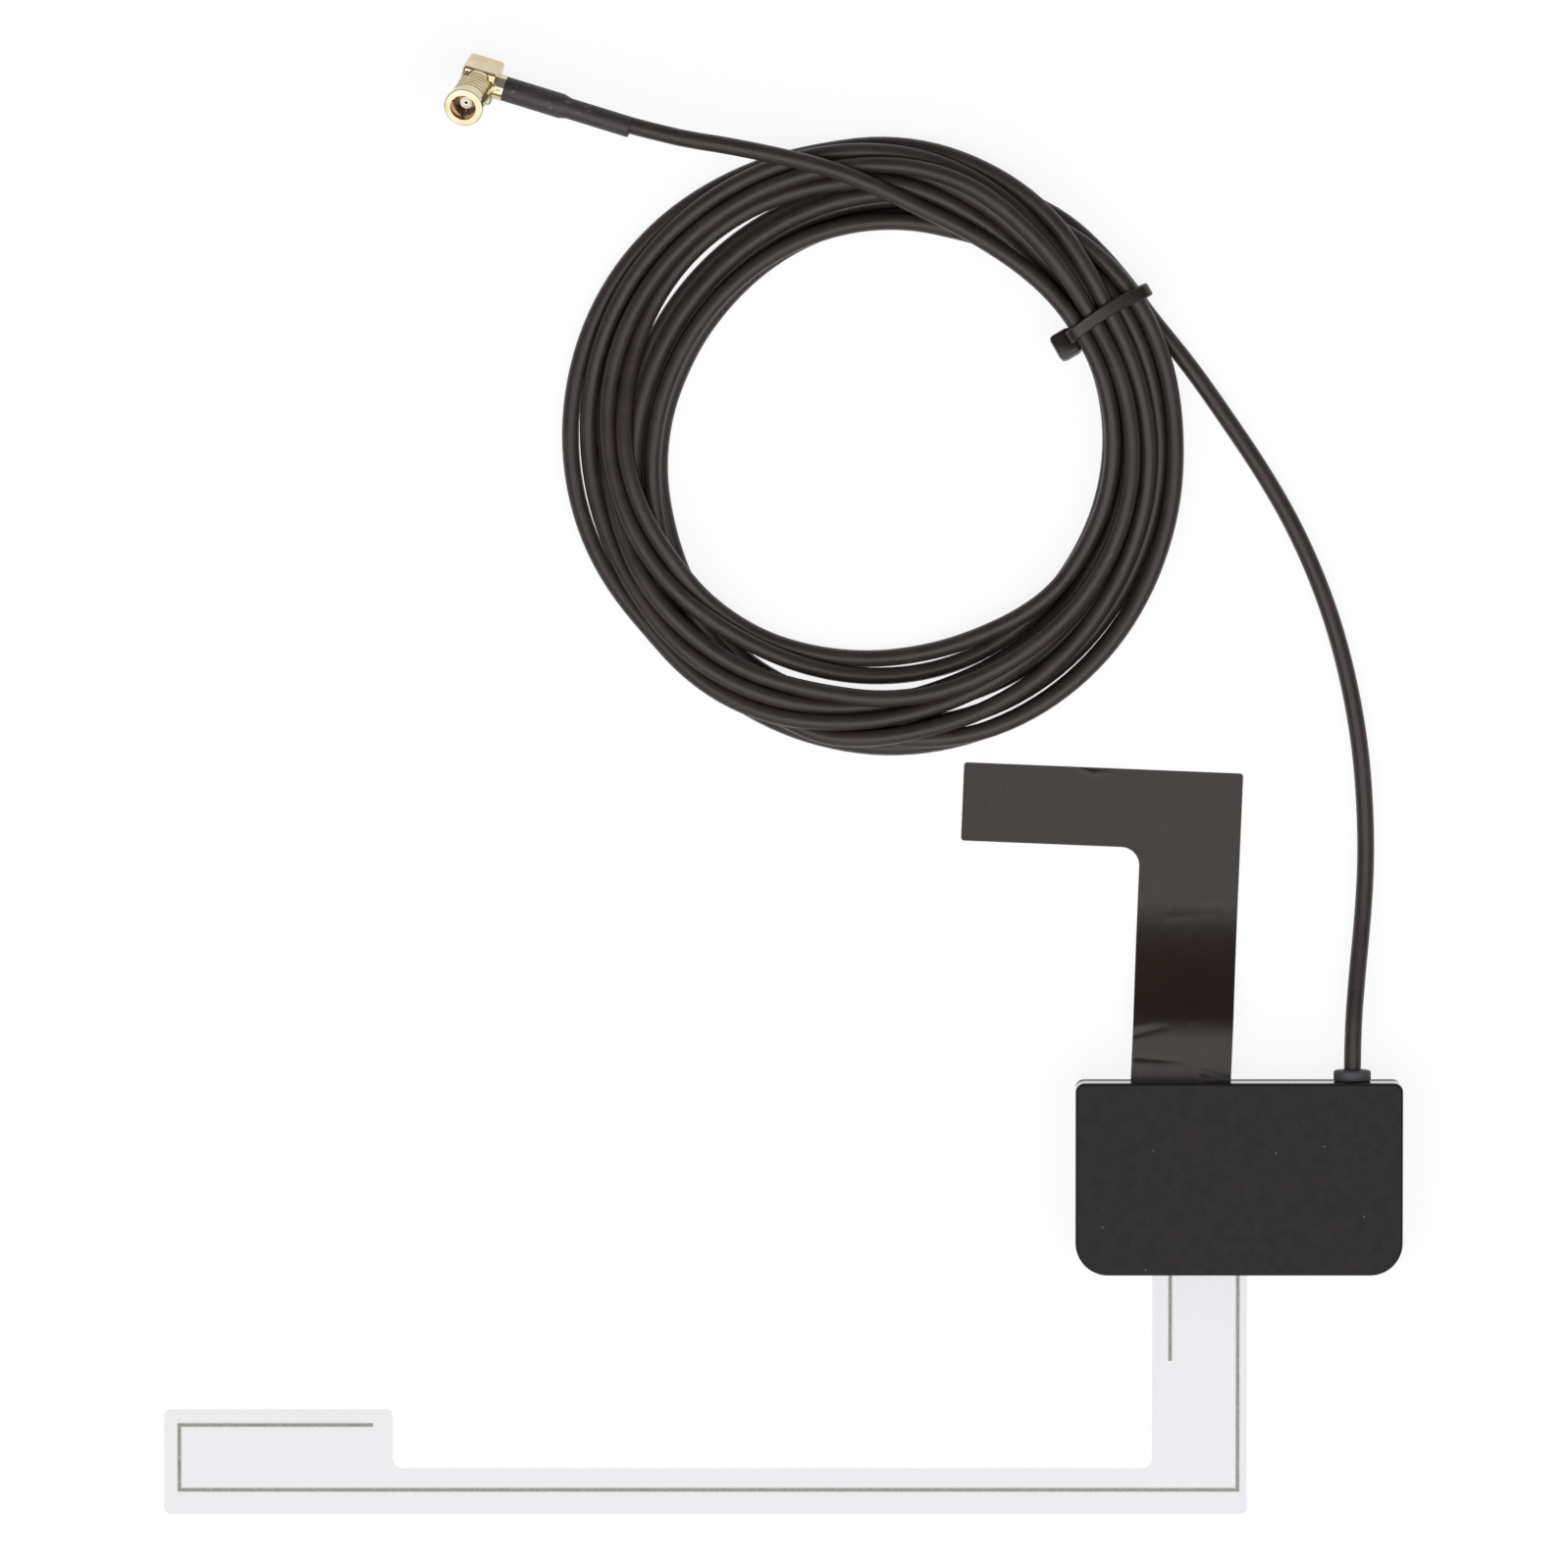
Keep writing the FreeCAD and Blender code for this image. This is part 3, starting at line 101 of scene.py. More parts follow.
def mouldedAbs(name, shell):
    # Black ABS from a spark-eroded mould: an even dull black with a wide soft sheen from its fine grain.
    settings = {"IOR": 1.54, "Specular IOR Level": shell["sheen"], "Coat Roughness": 0.03}
    material, tree, shader, place = startMaterial(name, settings)
    # the real grain is near 0.06 mm, drawn coarser so that it shows
    fine = {"Scale": perSize(0.3), "Detail": 4, "Roughness": 0.65}
    grain = addNode(tree, "TexNoise", fine, {"Vector": place}).outputs["Fac"]
    broad = {"Scale": perSize(1.6), "Detail": 3, "Roughness": 0.6}
    mottle = addNode(tree, "TexNoise", broad, {"Vector": place}).outputs["Fac"]
    shades = [(0.3, shell["dark"]), (0.7, shell["light"])]
    shade = addNode(tree, "ValToRGB", {"stops": shades}, {"Fac": mottle}).outputs[0]
    normal = addNode(tree, "SeparateXYZ", links={0: addNode(tree, "NewGeometry").outputs["Normal"]})
    looksUp = {"operation": "GREATER_THAN", 1: 0.8}
    upward = addNode(tree, "Math", looksUp, {0: normal.outputs["Z"]}).outputs[0]
    # a few specks of dust on the faces that look up
    scattered = {"voronoi_dimensions": "2D", "Scale": perSize(dust["apart"])}
    speck = addNode(tree, "TexVoronoi", scattered, {"Vector": place})
    within = {"operation": "LESS_THAN", 1: dust["radius"] / dust["apart"]}
    near = addNode(tree, "Math", within, {0: speck.outputs["Distance"]}).outputs[0]
    pick = addNode(tree, "SeparateColor", links={0: speck.outputs["Color"]}).outputs[0]
    some = addNode(tree, "Math", {"operation": "GREATER_THAN", 1: 1 - dust["share"]}, {0: pick}).outputs[0]
    both = addNode(tree, "Math", {"operation": "MULTIPLY"}, {0: near, 1: some}).outputs[0]
    lying = addNode(tree, "Math", {"operation": "MULTIPLY"}, {0: both, 1: upward}).outputs[0]
    tone = addNode(tree, "Mix", {"data_type": "RGBA", 7: linear(dust["colour"])}, {0: lying, 6: shade})
    # only the faces that look up carry the grain, the walls come smooth from the mould
    rough = addNode(tree, "ValToRGB", {"stops": [(0.25, 0.46), (0.75, 0.6)]}, {"Fac": grain}).outputs[0]
    walls = {"data_type": "FLOAT", 2: shell["wallRoughness"]}
    sides = addNode(tree, "Mix", walls, {0: upward, 3: rough})
    if shell["wallPolish"]:  # seen along them, the smooth walls mirror what lies beside them
        facing = addNode(tree, "LayerWeight", {"Blend": 0.5}).outputs["Facing"]
        grazing = {"From Min": 0.7, "From Max": 0.9, "To Max": shell["wallPolish"]}
        flat = addNode(tree, "MapRange", grazing, {"Value": facing}).outputs[0]
        coat = addNode(tree, "Mix", {"data_type": "FLOAT", 3: 0.0}, {0: upward, 2: flat})
        linkTo(tree, shader, {"Coat Weight": coat.outputs[0]})
    relief = addNode(tree, "Math", {"operation": "MULTIPLY"}, {0: grain, 1: upward}).outputs[0]
    bump = addNode(tree, "Bump", {"Strength": 0.5, "Distance": 0.05 * mm}, {"Height": relief}).outputs[0]
    linkTo(tree, shader, {"Base Color": tone.outputs[2], "Roughness": sides.outputs[0], "Normal": bump})
    return material


def extrudedPvc():
    # Black PVC jacket drawn through a die: satin, with faint cloudy bloom and now and then a paler patch.
    material, tree, shader, place = startMaterial("extrudedPvc", {"IOR": 1.53, "Specular IOR Level": 0.3})
    cloudy = {"Scale": perSize(4), "Detail": 4, "Roughness": 0.6}
    bloom = addNode(tree, "TexNoise", cloudy, {"Vector": place}).outputs["Fac"]
    shades = [(0.3, "#2e2725"), (0.72, "#39312f")]
    shade = addNode(tree, "ValToRGB", {"stops": shades}, {"Fac": bloom}).outputs[0]
    # paler patches scattered at random over the jacket, from a noise
    paleNoise = addNode(tree, "TexNoise", {"Scale": perSize(1.1), "Detail": 2}, {"Vector": place}).outputs["Fac"]
    paleMarks = addNode(tree, "ValToRGB", {"stops": [(0.72, 0.0), (0.78, 0.6)]}, {"Fac": paleNoise}).outputs[0]
    tone = addNode(tree, "Mix", {"data_type": "RGBA", 7: linear("#534b48")}, {0: paleMarks, 6: shade}).outputs[2]
    rough = addNode(tree, "ValToRGB", {"stops": [(0.3, 0.34), (0.7, 0.46)]}, {"Fac": bloom}).outputs[0]
    skin = addNode(tree, "TexNoise", {"Scale": perSize(0.5), "Detail": 2}, {"Vector": place}).outputs["Fac"]
    bump = addNode(tree, "Bump", {"Strength": 0.2, "Distance": 0.03 * mm}, {"Height": skin}).outputs[0]
    linkTo(tree, shader, {"Base Color": tone, "Roughness": rough, "Normal": bump})
    return material


sleeve = {"turn": 17, "rubbedFrom": -92, "rubbedTo": -104}  # degrees it lies askew, millimetres along X


def shrunkPolyolefin():
    # Polyolefin sleeve shrunk by heat: charcoal, softly shiny, with pale rubbed marks.
    settings = {"IOR": 1.5, "Specular IOR Level": 0.45}
    material, tree, shader, place = startMaterial("shrunkPolyolefin", settings)
    cloud = addNode(tree, "TexNoise", {"Scale": perSize(3), "Detail": 4}, {"Vector": place}).outputs["Fac"]
    shades = [(0.3, "#302b2d"), (0.7, "#3c3638")]
    shade = addNode(tree, "ValToRGB", {"stops": shades}, {"Fac": cloud}).outputs[0]
    # thin marks that run along the sleeve, more of them towards the plug
    drawnOut = {"Rotation": (0, 0, math.radians(sleeve["turn"])), "Scale": (0.3, 1, 1)}
    spread = addNode(tree, "Mapping", drawnOut, {"Vector": place}).outputs[0]
    thin = {"Scale": perSize(0.5), "Detail": 4, "Roughness": 0.7}
    rub = addNode(tree, "TexNoise", thin, {"Vector": spread}).outputs["Fac"]
    along = addNode(tree, "SeparateXYZ", links={0: place}).outputs["X"]
    stretch = {"From Min": sleeve["rubbedFrom"] * mm, "From Max": sleeve["rubbedTo"] * mm}
    nearPlug = addNode(tree, "MapRange", stretch, {"Value": along}).outputs[0]
    more = addNode(tree, "Math", {"operation": "MULTIPLY_ADD", 1: 0.06}, {0: nearPlug, 2: rub}).outputs[0]
    paleMarks = addNode(tree, "ValToRGB", {"stops": [(0.66, 0.0), (0.74, 0.7)]}, {"Fac": more}).outputs[0]
    tone = addNode(tree, "Mix", {"data_type": "RGBA", 7: linear("#8a8688")}, {0: paleMarks, 6: shade}).outputs[2]
    rough = addNode(tree, "ValToRGB", {"stops": [(0.3, 0.42), (0.7, 0.55)]}, {"Fac": cloud}).outputs[0]
    bump = addNode(tree, "Bump", {"Strength": 0.3, "Distance": 0.06 * mm}, {"Height": cloud}).outputs[0]
    linkTo(tree, shader, {"Base Color": tone, "Roughness": rough, "Normal": bump})
    return material


def mouldedNylon():
    # Black nylon 66, moulded: smooth and a little waxy.
    material, tree, shader, place = startMaterial("mouldedNylon", {"IOR": 1.53, "Specular IOR Level": 0.36})
    flow = addNode(tree, "TexNoise", {"Scale": perSize(2), "Detail": 3}, {"Vector": place}).outputs["Fac"]
    shades = [(0.3, "#1b1412"), (0.7, "#261d1a")]
    shade = addNode(tree, "ValToRGB", {"stops": shades}, {"Fac": flow}).outputs[0]
    rough = addNode(tree, "ValToRGB", {"stops": [(0.3, 0.28), (0.7, 0.4)]}, {"Fac": flow}).outputs[0]
    bump = addNode(tree, "Bump", {"Strength": 0.15, "Distance": 0.04 * mm}, {"Height": flow}).outputs[0]
    linkTo(tree, shader, {"Base Color": shade, "Roughness": rough, "Normal": bump})
    return material


def mouldedRubber():
    # Soft black rubber of the grommet: matt, faintly blue, with a dry bloom.
    material, tree, shader, place = startMaterial("mouldedRubber", {"IOR": 1.52, "Specular IOR Level": 0.4})
    bloom = addNode(tree, "TexNoise", {"Scale": perSize(1.2), "Detail": 4}, {"Vector": place}).outputs["Fac"]
    shades = [(0.3, "#413f43"), (0.7, "#525055")]
    shade = addNode(tree, "ValToRGB", {"stops": shades}, {"Fac": bloom}).outputs[0]
    rough = addNode(tree, "ValToRGB", {"stops": [(0.3, 0.55), (0.7, 0.7)]}, {"Fac": bloom}).outputs[0]
    bump = addNode(tree, "Bump", {"Strength": 0.2, "Distance": 0.04 * mm}, {"Height": bloom}).outputs[0]
    linkTo(tree, shader, {"Base Color": shade, "Roughness": rough, "Normal": bump})
    return material


def laminatedFoil():
    # Aluminium foil between black polyester films: brown-black with a silky gloss and fine handling marks.
    material, tree, shader, place = startMaterial("laminatedFoil", {"IOR": 1.6, "Specular IOR Level": 0.21})
    cloud = addNode(tree, "TexNoise", {"Scale": perSize(14), "Detail": 4}, {"Vector": place}).outputs["Fac"]
    shades = [(0.3, "#1e1611"), (0.7, "#251c17")]
    shade = addNode(tree, "ValToRGB", {"stops": shades}, {"Fac": cloud}).outputs[0]
    spread = addNode(tree, "Mapping", {"Scale": (1, 0.12, 1)}, {"Vector": place}).outputs[0]
    drawn = addNode(tree, "TexNoise", {"Scale": perSize(0.5), "Detail": 3}, {"Vector": spread}).outputs["Fac"]
    rough = addNode(tree, "ValToRGB", {"stops": [(0.3, 0.27), (0.7, 0.31)]}, {"Fac": drawn}).outputs[0]
    ripple = addNode(tree, "TexNoise", {"Scale": perSize(7), "Detail": 2}, {"Vector": place}).outputs["Fac"]
    bump = addNode(tree, "Bump", {"Strength": 0.35, "Distance": 0.2 * mm}, {"Height": ripple}).outputs[0]
    linkTo(tree, shader, {"Base Color": shade, "Roughness": rough, "Normal": bump})
    return material


def clearPolyester():
    # Clear polyester film: almost invisible on white, a cool grey veil with slight haze.
    settings = {"IOR": 1.57, "Base Color": linear("#cfcfd6"), "Roughness": 0.22}
    material, tree, shader, place = startMaterial("clearPolyester", settings)
    haze = addNode(tree, "TexNoise", {"Scale": perSize(25), "Detail": 3}, {"Vector": place}).outputs["Fac"]
    veil = addNode(tree, "ValToRGB", {"stops": [(0.3, 0.23), (0.7, 0.26)]}, {"Fac": haze}).outputs[0]
    linkTo(tree, shader, {"Alpha": veil})
    return material


def silverInk():
    # Screen-printed silver paste: dull grey with a grainy, slightly metallic face.
    material, tree, shader, place = startMaterial("silverInk", {"Metallic": 0.35, "Roughness": 0.55})
    # the grit is near 0.02 mm, drawn coarser so that it shows
    grit = addNode(tree, "TexNoise", {"Scale": perSize(0.35), "Detail": 4}, {"Vector": place}).outputs["Fac"]
    shades = [(0.3, "#7b7a70"), (0.7, "#9d9c92")]
    shade = addNode(tree, "ValToRGB", {"stops": shades}, {"Fac": grit}).outputs[0]
    bump = addNode(tree, "Bump", {"Strength": 0.3, "Distance": 0.03 * mm}, {"Height": grit}).outputs[0]
    linkTo(tree, shader, {"Base Color": shade, "Normal": bump})
    return material


def goldPlate():
    # Thin gold over nickel on turned brass: pale yellow and bright, finely uneven, with a little tarnish.
    material, tree, shader, place = startMaterial("goldPlate", {"Metallic": 1.0})
    stain = addNode(tree, "TexNoise", {"Scale": perSize(2.5), "Detail": 4}, {"Vector": place}).outputs["Fac"]
    shades = [(0.3, "#cdbf9a"), (0.7, "#e3d8ba")]
    shade = addNode(tree, "ValToRGB", {"stops": shades}, {"Fac": stain}).outputs[0]
    # the lathe's marks are near 0.05 mm wide, drawn coarser so that they show
    fine = addNode(tree, "TexNoise", {"Scale": perSize(0.25), "Detail": 2}, {"Vector": place}).outputs["Fac"]
    rough = addNode(tree, "ValToRGB", {"stops": [(0.3, 0.07), (0.7, 0.14)]}, {"Fac": fine}).outputs[0]
    bump = addNode(tree, "Bump", {"Strength": 0.08, "Distance": 0.03 * mm}, {"Height": fine}).outputs[0]
    linkTo(tree, shader, {"Base Color": shade, "Roughness": rough, "Normal": bump})
    return material


def springBronze():
    # Bare spring bronze: warm copper-brown, burnished where it rubs.
    material, tree, shader, place = startMaterial("springBronze", {"Metallic": 1.0})
    stain = addNode(tree, "TexNoise", {"Scale": perSize(1.5), "Detail": 4}, {"Vector": place}).outputs["Fac"]
    shades = [(0.3, "#a17a61"), (0.7, "#cda98e")]
    shade = addNode(tree, "ValToRGB", {"stops": shades}, {"Fac": stain}).outputs[0]
    rough = addNode(tree, "ValToRGB", {"stops": [(0.3, 0.24), (0.7, 0.38)]}, {"Fac": stain}).outputs[0]
    linkTo(tree, shader, {"Base Color": shade, "Roughness": rough})
    return material


def drawnCopper():
    # Copper wire, drawn: bright salmon-red, a little uneven.
    material, tree, shader, place = startMaterial("drawnCopper", {"Metallic": 1.0})
    drawn = addNode(tree, "TexNoise", {"Scale": perSize(0.4), "Detail": 3}, {"Vector": place}).outputs["Fac"]
    shades = [(0.3, "#b06a48"), (0.7, "#d69470")]
    shade = addNode(tree, "ValToRGB", {"stops": shades}, {"Fac": drawn}).outputs[0]
    rough = addNode(tree, "ValToRGB", {"stops": [(0.3, 0.25), (0.7, 0.4)]}, {"Fac": drawn}).outputs[0]
    linkTo(tree, shader, {"Base Color": shade, "Roughness": rough})
    return material


def turnedPtfe():
    # White PTFE, turned: milky and soft, with a waxy sheen.
    material, tree, shader, place = startMaterial("turnedPtfe", {"IOR": 1.38, "Roughness": 0.5})
    milk = addNode(tree, "TexNoise", {"Scale": perSize(0.8), "Detail": 3}, {"Vector": place}).outputs["Fac"]
    shades = [(0.3, "#dcd8cf"), (0.7, "#efece5")]
    shade = addNode(tree, "ValToRGB", {"stops": shades}, {"Fac": milk}).outputs[0]
    linkTo(tree, shader, {"Base Color": shade})
    return material


def extrudedPolyethylene():
    # Natural polyethylene core of the coax: cloudy white.
    material, tree, shader, place = startMaterial("extrudedPolyethylene", {"IOR": 1.51, "Roughness": 0.42})
    cloud = addNode(tree, "TexNoise", {"Scale": perSize(0.9), "Detail": 3}, {"Vector": place}).outputs["Fac"]
    shades = [(0.3, "#d5d6d4"), (0.7, "#e9eae8")]
    shade = addNode(tree, "ValToRGB", {"stops": shades}, {"Fac": cloud}).outputs[0]
    linkTo(tree, shader, {"Base Color": shade})
    return material


def acrylicFoam():
    # Closed-cell acrylic foam tape: dark grey with small pores, painted darker in their hollows as shade.
    material, tree, shader, place = startMaterial("acrylicFoam", {"IOR": 1.48, "Roughness": 0.8})
    poresAndShade = addNode(tree, "TexVoronoi", {"Scale": perSize(0.3)}, {"Vector": place}).outputs["Distance"]
    # painted shade: the colour darkens towards the middle of each pore, where the bump is lowest
    shades = [(0.1, "#19191b"), (0.6, "#303033")]
    shade = addNode(tree, "ValToRGB", {"stops": shades}, {"Fac": poresAndShade}).outputs[0]
    bump = addNode(tree, "Bump", {"Strength": 0.5, "Distance": 0.08 * mm}, {"Height": poresAndShade}).outputs[0]
    linkTo(tree, shader, {"Base Color": shade, "Normal": bump})
    return material


def maskedLaminate():
    # Glass-epoxy board under green solder mask: smooth, with copper areas that show paler through it.
    material, tree, shader, place = startMaterial("maskedLaminate", {"IOR": 1.55, "Roughness": 0.3})
    squared = {"distance": "CHEBYCHEV", "Scale": perSize(4)}
    areas = addNode(tree, "TexVoronoi", squared, {"Vector": place}).outputs["Distance"]
    shades = [(0.42, "#1d5a38"), (0.46, "#174829")]
    shade = addNode(tree, "ValToRGB", {"stops": shades}, {"Fac": areas}).outputs[0]
    weave = addNode(tree, "TexNoise", {"Scale": perSize(0.5)}, {"Vector": place}).outputs["Fac"]
    bump = addNode(tree, "Bump", {"Strength": 0.15, "Distance": 0.03 * mm}, {"Height": weave}).outputs[0]
    linkTo(tree, shader, {"Base Color": shade, "Normal": bump})
    return material


def mouldedEpoxy():
    # Black moulding epoxy of a chip: matt, with a fine sandy face.
    material, tree, shader, place = startMaterial("mouldedEpoxy", {"IOR": 1.55, "Roughness": 0.6})
    # the sand is near 0.03 mm, drawn coarser so that it shows
    sand = addNode(tree, "TexNoise", {"Scale": perSize(0.12), "Detail": 3}, {"Vector": place}).outputs["Fac"]
    shades = [(0.3, "#161616"), (0.7, "#232323")]
    shade = addNode(tree, "ValToRGB", {"stops": shades}, {"Fac": sand}).outputs[0]
    bump = addNode(tree, "Bump", {"Strength": 0.3, "Distance": 0.02 * mm}, {"Height": sand}).outputs[0]
    linkTo(tree, shader, {"Base Color": shade, "Normal": bump})
    return material


def pressedFerrite():
    # Pressed and fired ferrite: dark grey, a little metallic, with a powdery grain.
    material, tree, shader, place = startMaterial("pressedFerrite", {"Roughness": 0.5, "Metallic": 0.2})
    # the powder is near 0.02 mm, drawn coarser so that it shows
    powder = addNode(tree, "TexNoise", {"Scale": perSize(0.2), "Detail": 4}, {"Vector": place}).outputs["Fac"]
    shades = [(0.3, "#2c2c2e"), (0.7, "#424245")]
    shade = addNode(tree, "ValToRGB", {"stops": shades}, {"Fac": powder}).outputs[0]
    linkTo(tree, shader, {"Base Color": shade})
    return material


def firedCeramic():
    # Fired chip ceramic: tan, with a soft glaze.
    material, tree, shader, place = startMaterial("firedCeramic", {"IOR": 1.7, "Roughness": 0.4})
    fleck = addNode(tree, "TexNoise", {"Scale": perSize(0.25), "Detail": 3}, {"Vector": place}).outputs["Fac"]
    shades = [(0.3, "#8a6f4d"), (0.7, "#a78a64")]
    shade = addNode(tree, "ValToRGB", {"stops": shades}, {"Fac": fleck}).outputs[0]
    linkTo(tree, shader, {"Base Color": shade})
    return material


finishes = [
    (extrudedPvc, ["cable_lead", "cable_coil", "cable_tail"]),
    (shrunkPolyolefin, ["heat_shrink_sleeve"]),
    (mouldedNylon, ["cable_tie"]),
    (mouldedRubber, ["cable_gland"]),
    (laminatedFoil, ["ground_foil"]),
    (clearPolyester, ["antenna_film"]),
    (silverInk, ["long_trace", "short_trace"]),
    (goldPlate, ["crimp_ferrule", "plug_body", "connector_cap", "coupling_sleeve", "centre_contact"]),
    (springBronze, ["contact_collet", "long_trace_contact", "short_trace_contact"]),
    (drawnCopper, ["coax_braid", "coax_conductor", "plug_braid", "plug_conductor"]),
    (turnedPtfe, ["connector_insulator"]),
    (extrudedPolyethylene, ["coax_dielectric", "plug_dielectric"]),
    (acrylicFoam, ["adhesive_pad"]),
    (maskedLaminate, ["circuit_board"]),
    (mouldedEpoxy, ["amplifier_transistor"]),
    (pressedFerrite, ["bias_choke"]),
    (firedCeramic, ["chip_capacitors", "chip_resistors"]),
]
made = {}


def dress(wearer, finish):
    nodes[wearer].data.materials.clear()
    nodes[wearer].data.materials.append(finish)


for recipe, wearers in finishes:
    finish = recipe()
    made[finish.name] = finish
    for wearer in wearers:
        dress(wearer, finish)
for wearer, shell in shells.items():
    dress(wearer, mouldedAbs("mouldedAbs_" + wearer, shell))
print("finishes on", len(shells) + sum(len(wearers) for recipe, wearers in finishes), "parts")


lead = {
    "diameter": 2.6,
    "fromGland": [  # millimetres, out of the housing and along the table to the tie
        (17.33, 11.15, 4.65), (17.33, 21.2, 4.65), (18.05, 30.5, 3.2), (18.95, 39, 1.75), (19.5, 48, 1.32),
        (19.3, 57, 1.32), (18.55, 65.8, 1.32), (17.05, 74.6, 1.32), (14.85, 83.3, 1.32), (11.85, 91.8, 1.32),
        (8, 100.2, 1.32), (3.3, 108.2, 1.32), (-2, 116, 1.32), (-7.6, 124, 1.32), (-14.2, 132, 1.8),
    ],
    "toPlug": [  # on over the hank and into the sleeve
        (-77.6, 157.75, 7.1), (-87.17, 159.1, 7.8), (-103.31, 163.71, 5.9),
    ],
    "middle": (-55.3, 112.3),  # of the hank
    "places": [30, 85, 145, 190, 240, 290, 345],  # degrees round the hank, the tie first
    "lanes": [  # radius of each turn at those places: five turns under, then five over them
        [45.1, 39.3, 37.1, 39.0, 44.5, 47.3, 45.6],
        [43.6, 37.4, 34.4, 36.3, 41.8, 44.4, 43.2],
        [41.8, 35.6, 31.7, 33.4, 39.3, 40.7, 41.6],
        [40.4, 34.6, 32.6, 34.6, 40.6, 47.4, 46.3],
        [45.6, 38.6, 35.7, 37.6, 43.0, 43.9, 41.6],
        [40.8, 45.9, 47.0, 46.9, 45.4, 40.9, 39.6],
        [38.8, 43.3, 45.0, 43.3, 42.2, 38.6, 37.0],
        [37.0, 42.0, 43.5, 41.4, 40.8, 39.4, 39.4],
        [38.8, 42.6, 42.2, 40.2, 35.9, 36.0, 36.0],
        [35.7, 39.6, 40.7, 38.0, 34.7, 32.8, 35.8],
    ],
    "off": [  # degrees and radius of the end that leaves over the top
        (30, 35.7), (60, 35.0), (83.4, 37.7), (98.8, 42.7), (110, 46.6),
    ],
    "offFrom": 85,  # degrees past the last turn from where that end is free, and its height there
    "offHeight": 6.5,
    "outline": [  # degrees, inside and outside radius of the whole hank
        (0, 34.5, 46.9), (20, 34.6, 46.9), (40, 33.9, 46.0), (60, 33.4, 46.6), (80, 32.9, 47.2),
        (100, 31.2, 46.5), (120, 30.4, 47.2), (140, 30.3, 48.3), (160, 30.6, 48.7), (180, 31.8, 48.6),
        (200, 33.1, 47.6), (220, 34.4, 46.2), (240, 33.4, 47.2), (260, 31.7, 47.9), (280, 31.5, 48.4),
        (300, 32.3, 48.7), (320, 34.1, 48.6), (340, 34.3, 48.0), (360, 34.5, 46.9),
    ],
    "perTurn": 36,  # points in each turn
    "tieInside": (34.2, 46.6, 0.9, 7.2),  # room in the strap: radius from, to, height from, to
    "exit": (17.33, 16.4, 4.65),  # where it leaves the gland
}
settling = {
    "rounds": 500,
    "sink": 0.04,  # millimetres that the turns sink in each round
    "pull": 0.08,  # share of the way back to its lane
    "stiffness": 0.3,  # share of a kink that straightens out
    "unbound": 99.0,  # a limit that no turn reaches
}


def laneRadii():
    # one smooth run of radii through the turns' lanes, and on into the end that leaves
    keys = []
    for turn, lane in enumerate(lead["lanes"]):
        keys += [(360 * turn + spot, radius) for spot, radius in zip(lead["places"], lane)]
    keys += [(360 * len(lead["lanes"]) + spot, radius) for spot, radius in lead["off"]]
    angles, radii = np.array(keys).T
    slopes = np.gradient(radii, angles)
    at = np.arange(angles[0], angles[-1], 360 / lead["perTurn"])
    index = np.clip(np.searchsorted(angles, at, side="right") - 1, 0, len(angles) - 2)
    span = angles[index + 1] - angles[index]
    t = (at - angles[index]) / span
    fromHere, toNext = (2 * t**3 - 3 * t**2 + 1) * radii[index], (3 * t**2 - 2 * t**3) * radii[index + 1]
    leaving, arriving = (t**3 - 2 * t**2 + t) * slopes[index], (t**3 - t**2) * slopes[index + 1]
    return at, fromHere + toNext + (leaving + arriving) * span


def roomRound(angle):
    # how near and far from the middle, and how low and high, the cable's own line may lie at each angle
    half, perTurn = lead["diameter"] / 2, lead["perTurn"]
    spots, inside, outside = np.array(lead["outline"]).T
    nearest = np.interp(angle % 360, spots, inside) + half
    farthest = np.interp(angle % 360, spots, outside) - half
    lowest, highest = np.full(len(angle), half), np.full(len(angle), settling["unbound"])
    inner, outer, bottom, top = lead["tieInside"]
    nearest[::perTurn], farthest[::perTurn] = inner + half, outer - half
    lowest[::perTurn], highest[::perTurn] = bottom + half, top - half
    leaving = angle > 360 * len(lead["lanes"]) + lead["offFrom"]
    farthest[leaving], lowest[leaving] = settling["unbound"], lead["offHeight"]
    return nearest, farthest, lowest, highest


def pushApart(across, up, there):
    # turns that share room move away from each other, half of the overlap each
    for a in range(len(across)):
        for b in range(a + 1, len(across)):
            sideways, upward = across[b] - across[a], up[b] - up[a]
            apart = np.hypot(sideways, upward) + 1e-9  # never zero
            overlap = np.where(there[a] & there[b], np.maximum(lead["diameter"] - apart, 0), 0)
            share = overlap / 2 / apart
            across[a] -= share * sideways
            across[b] += share * sideways
            up[a] -= share * upward
            up[b] += share * upward


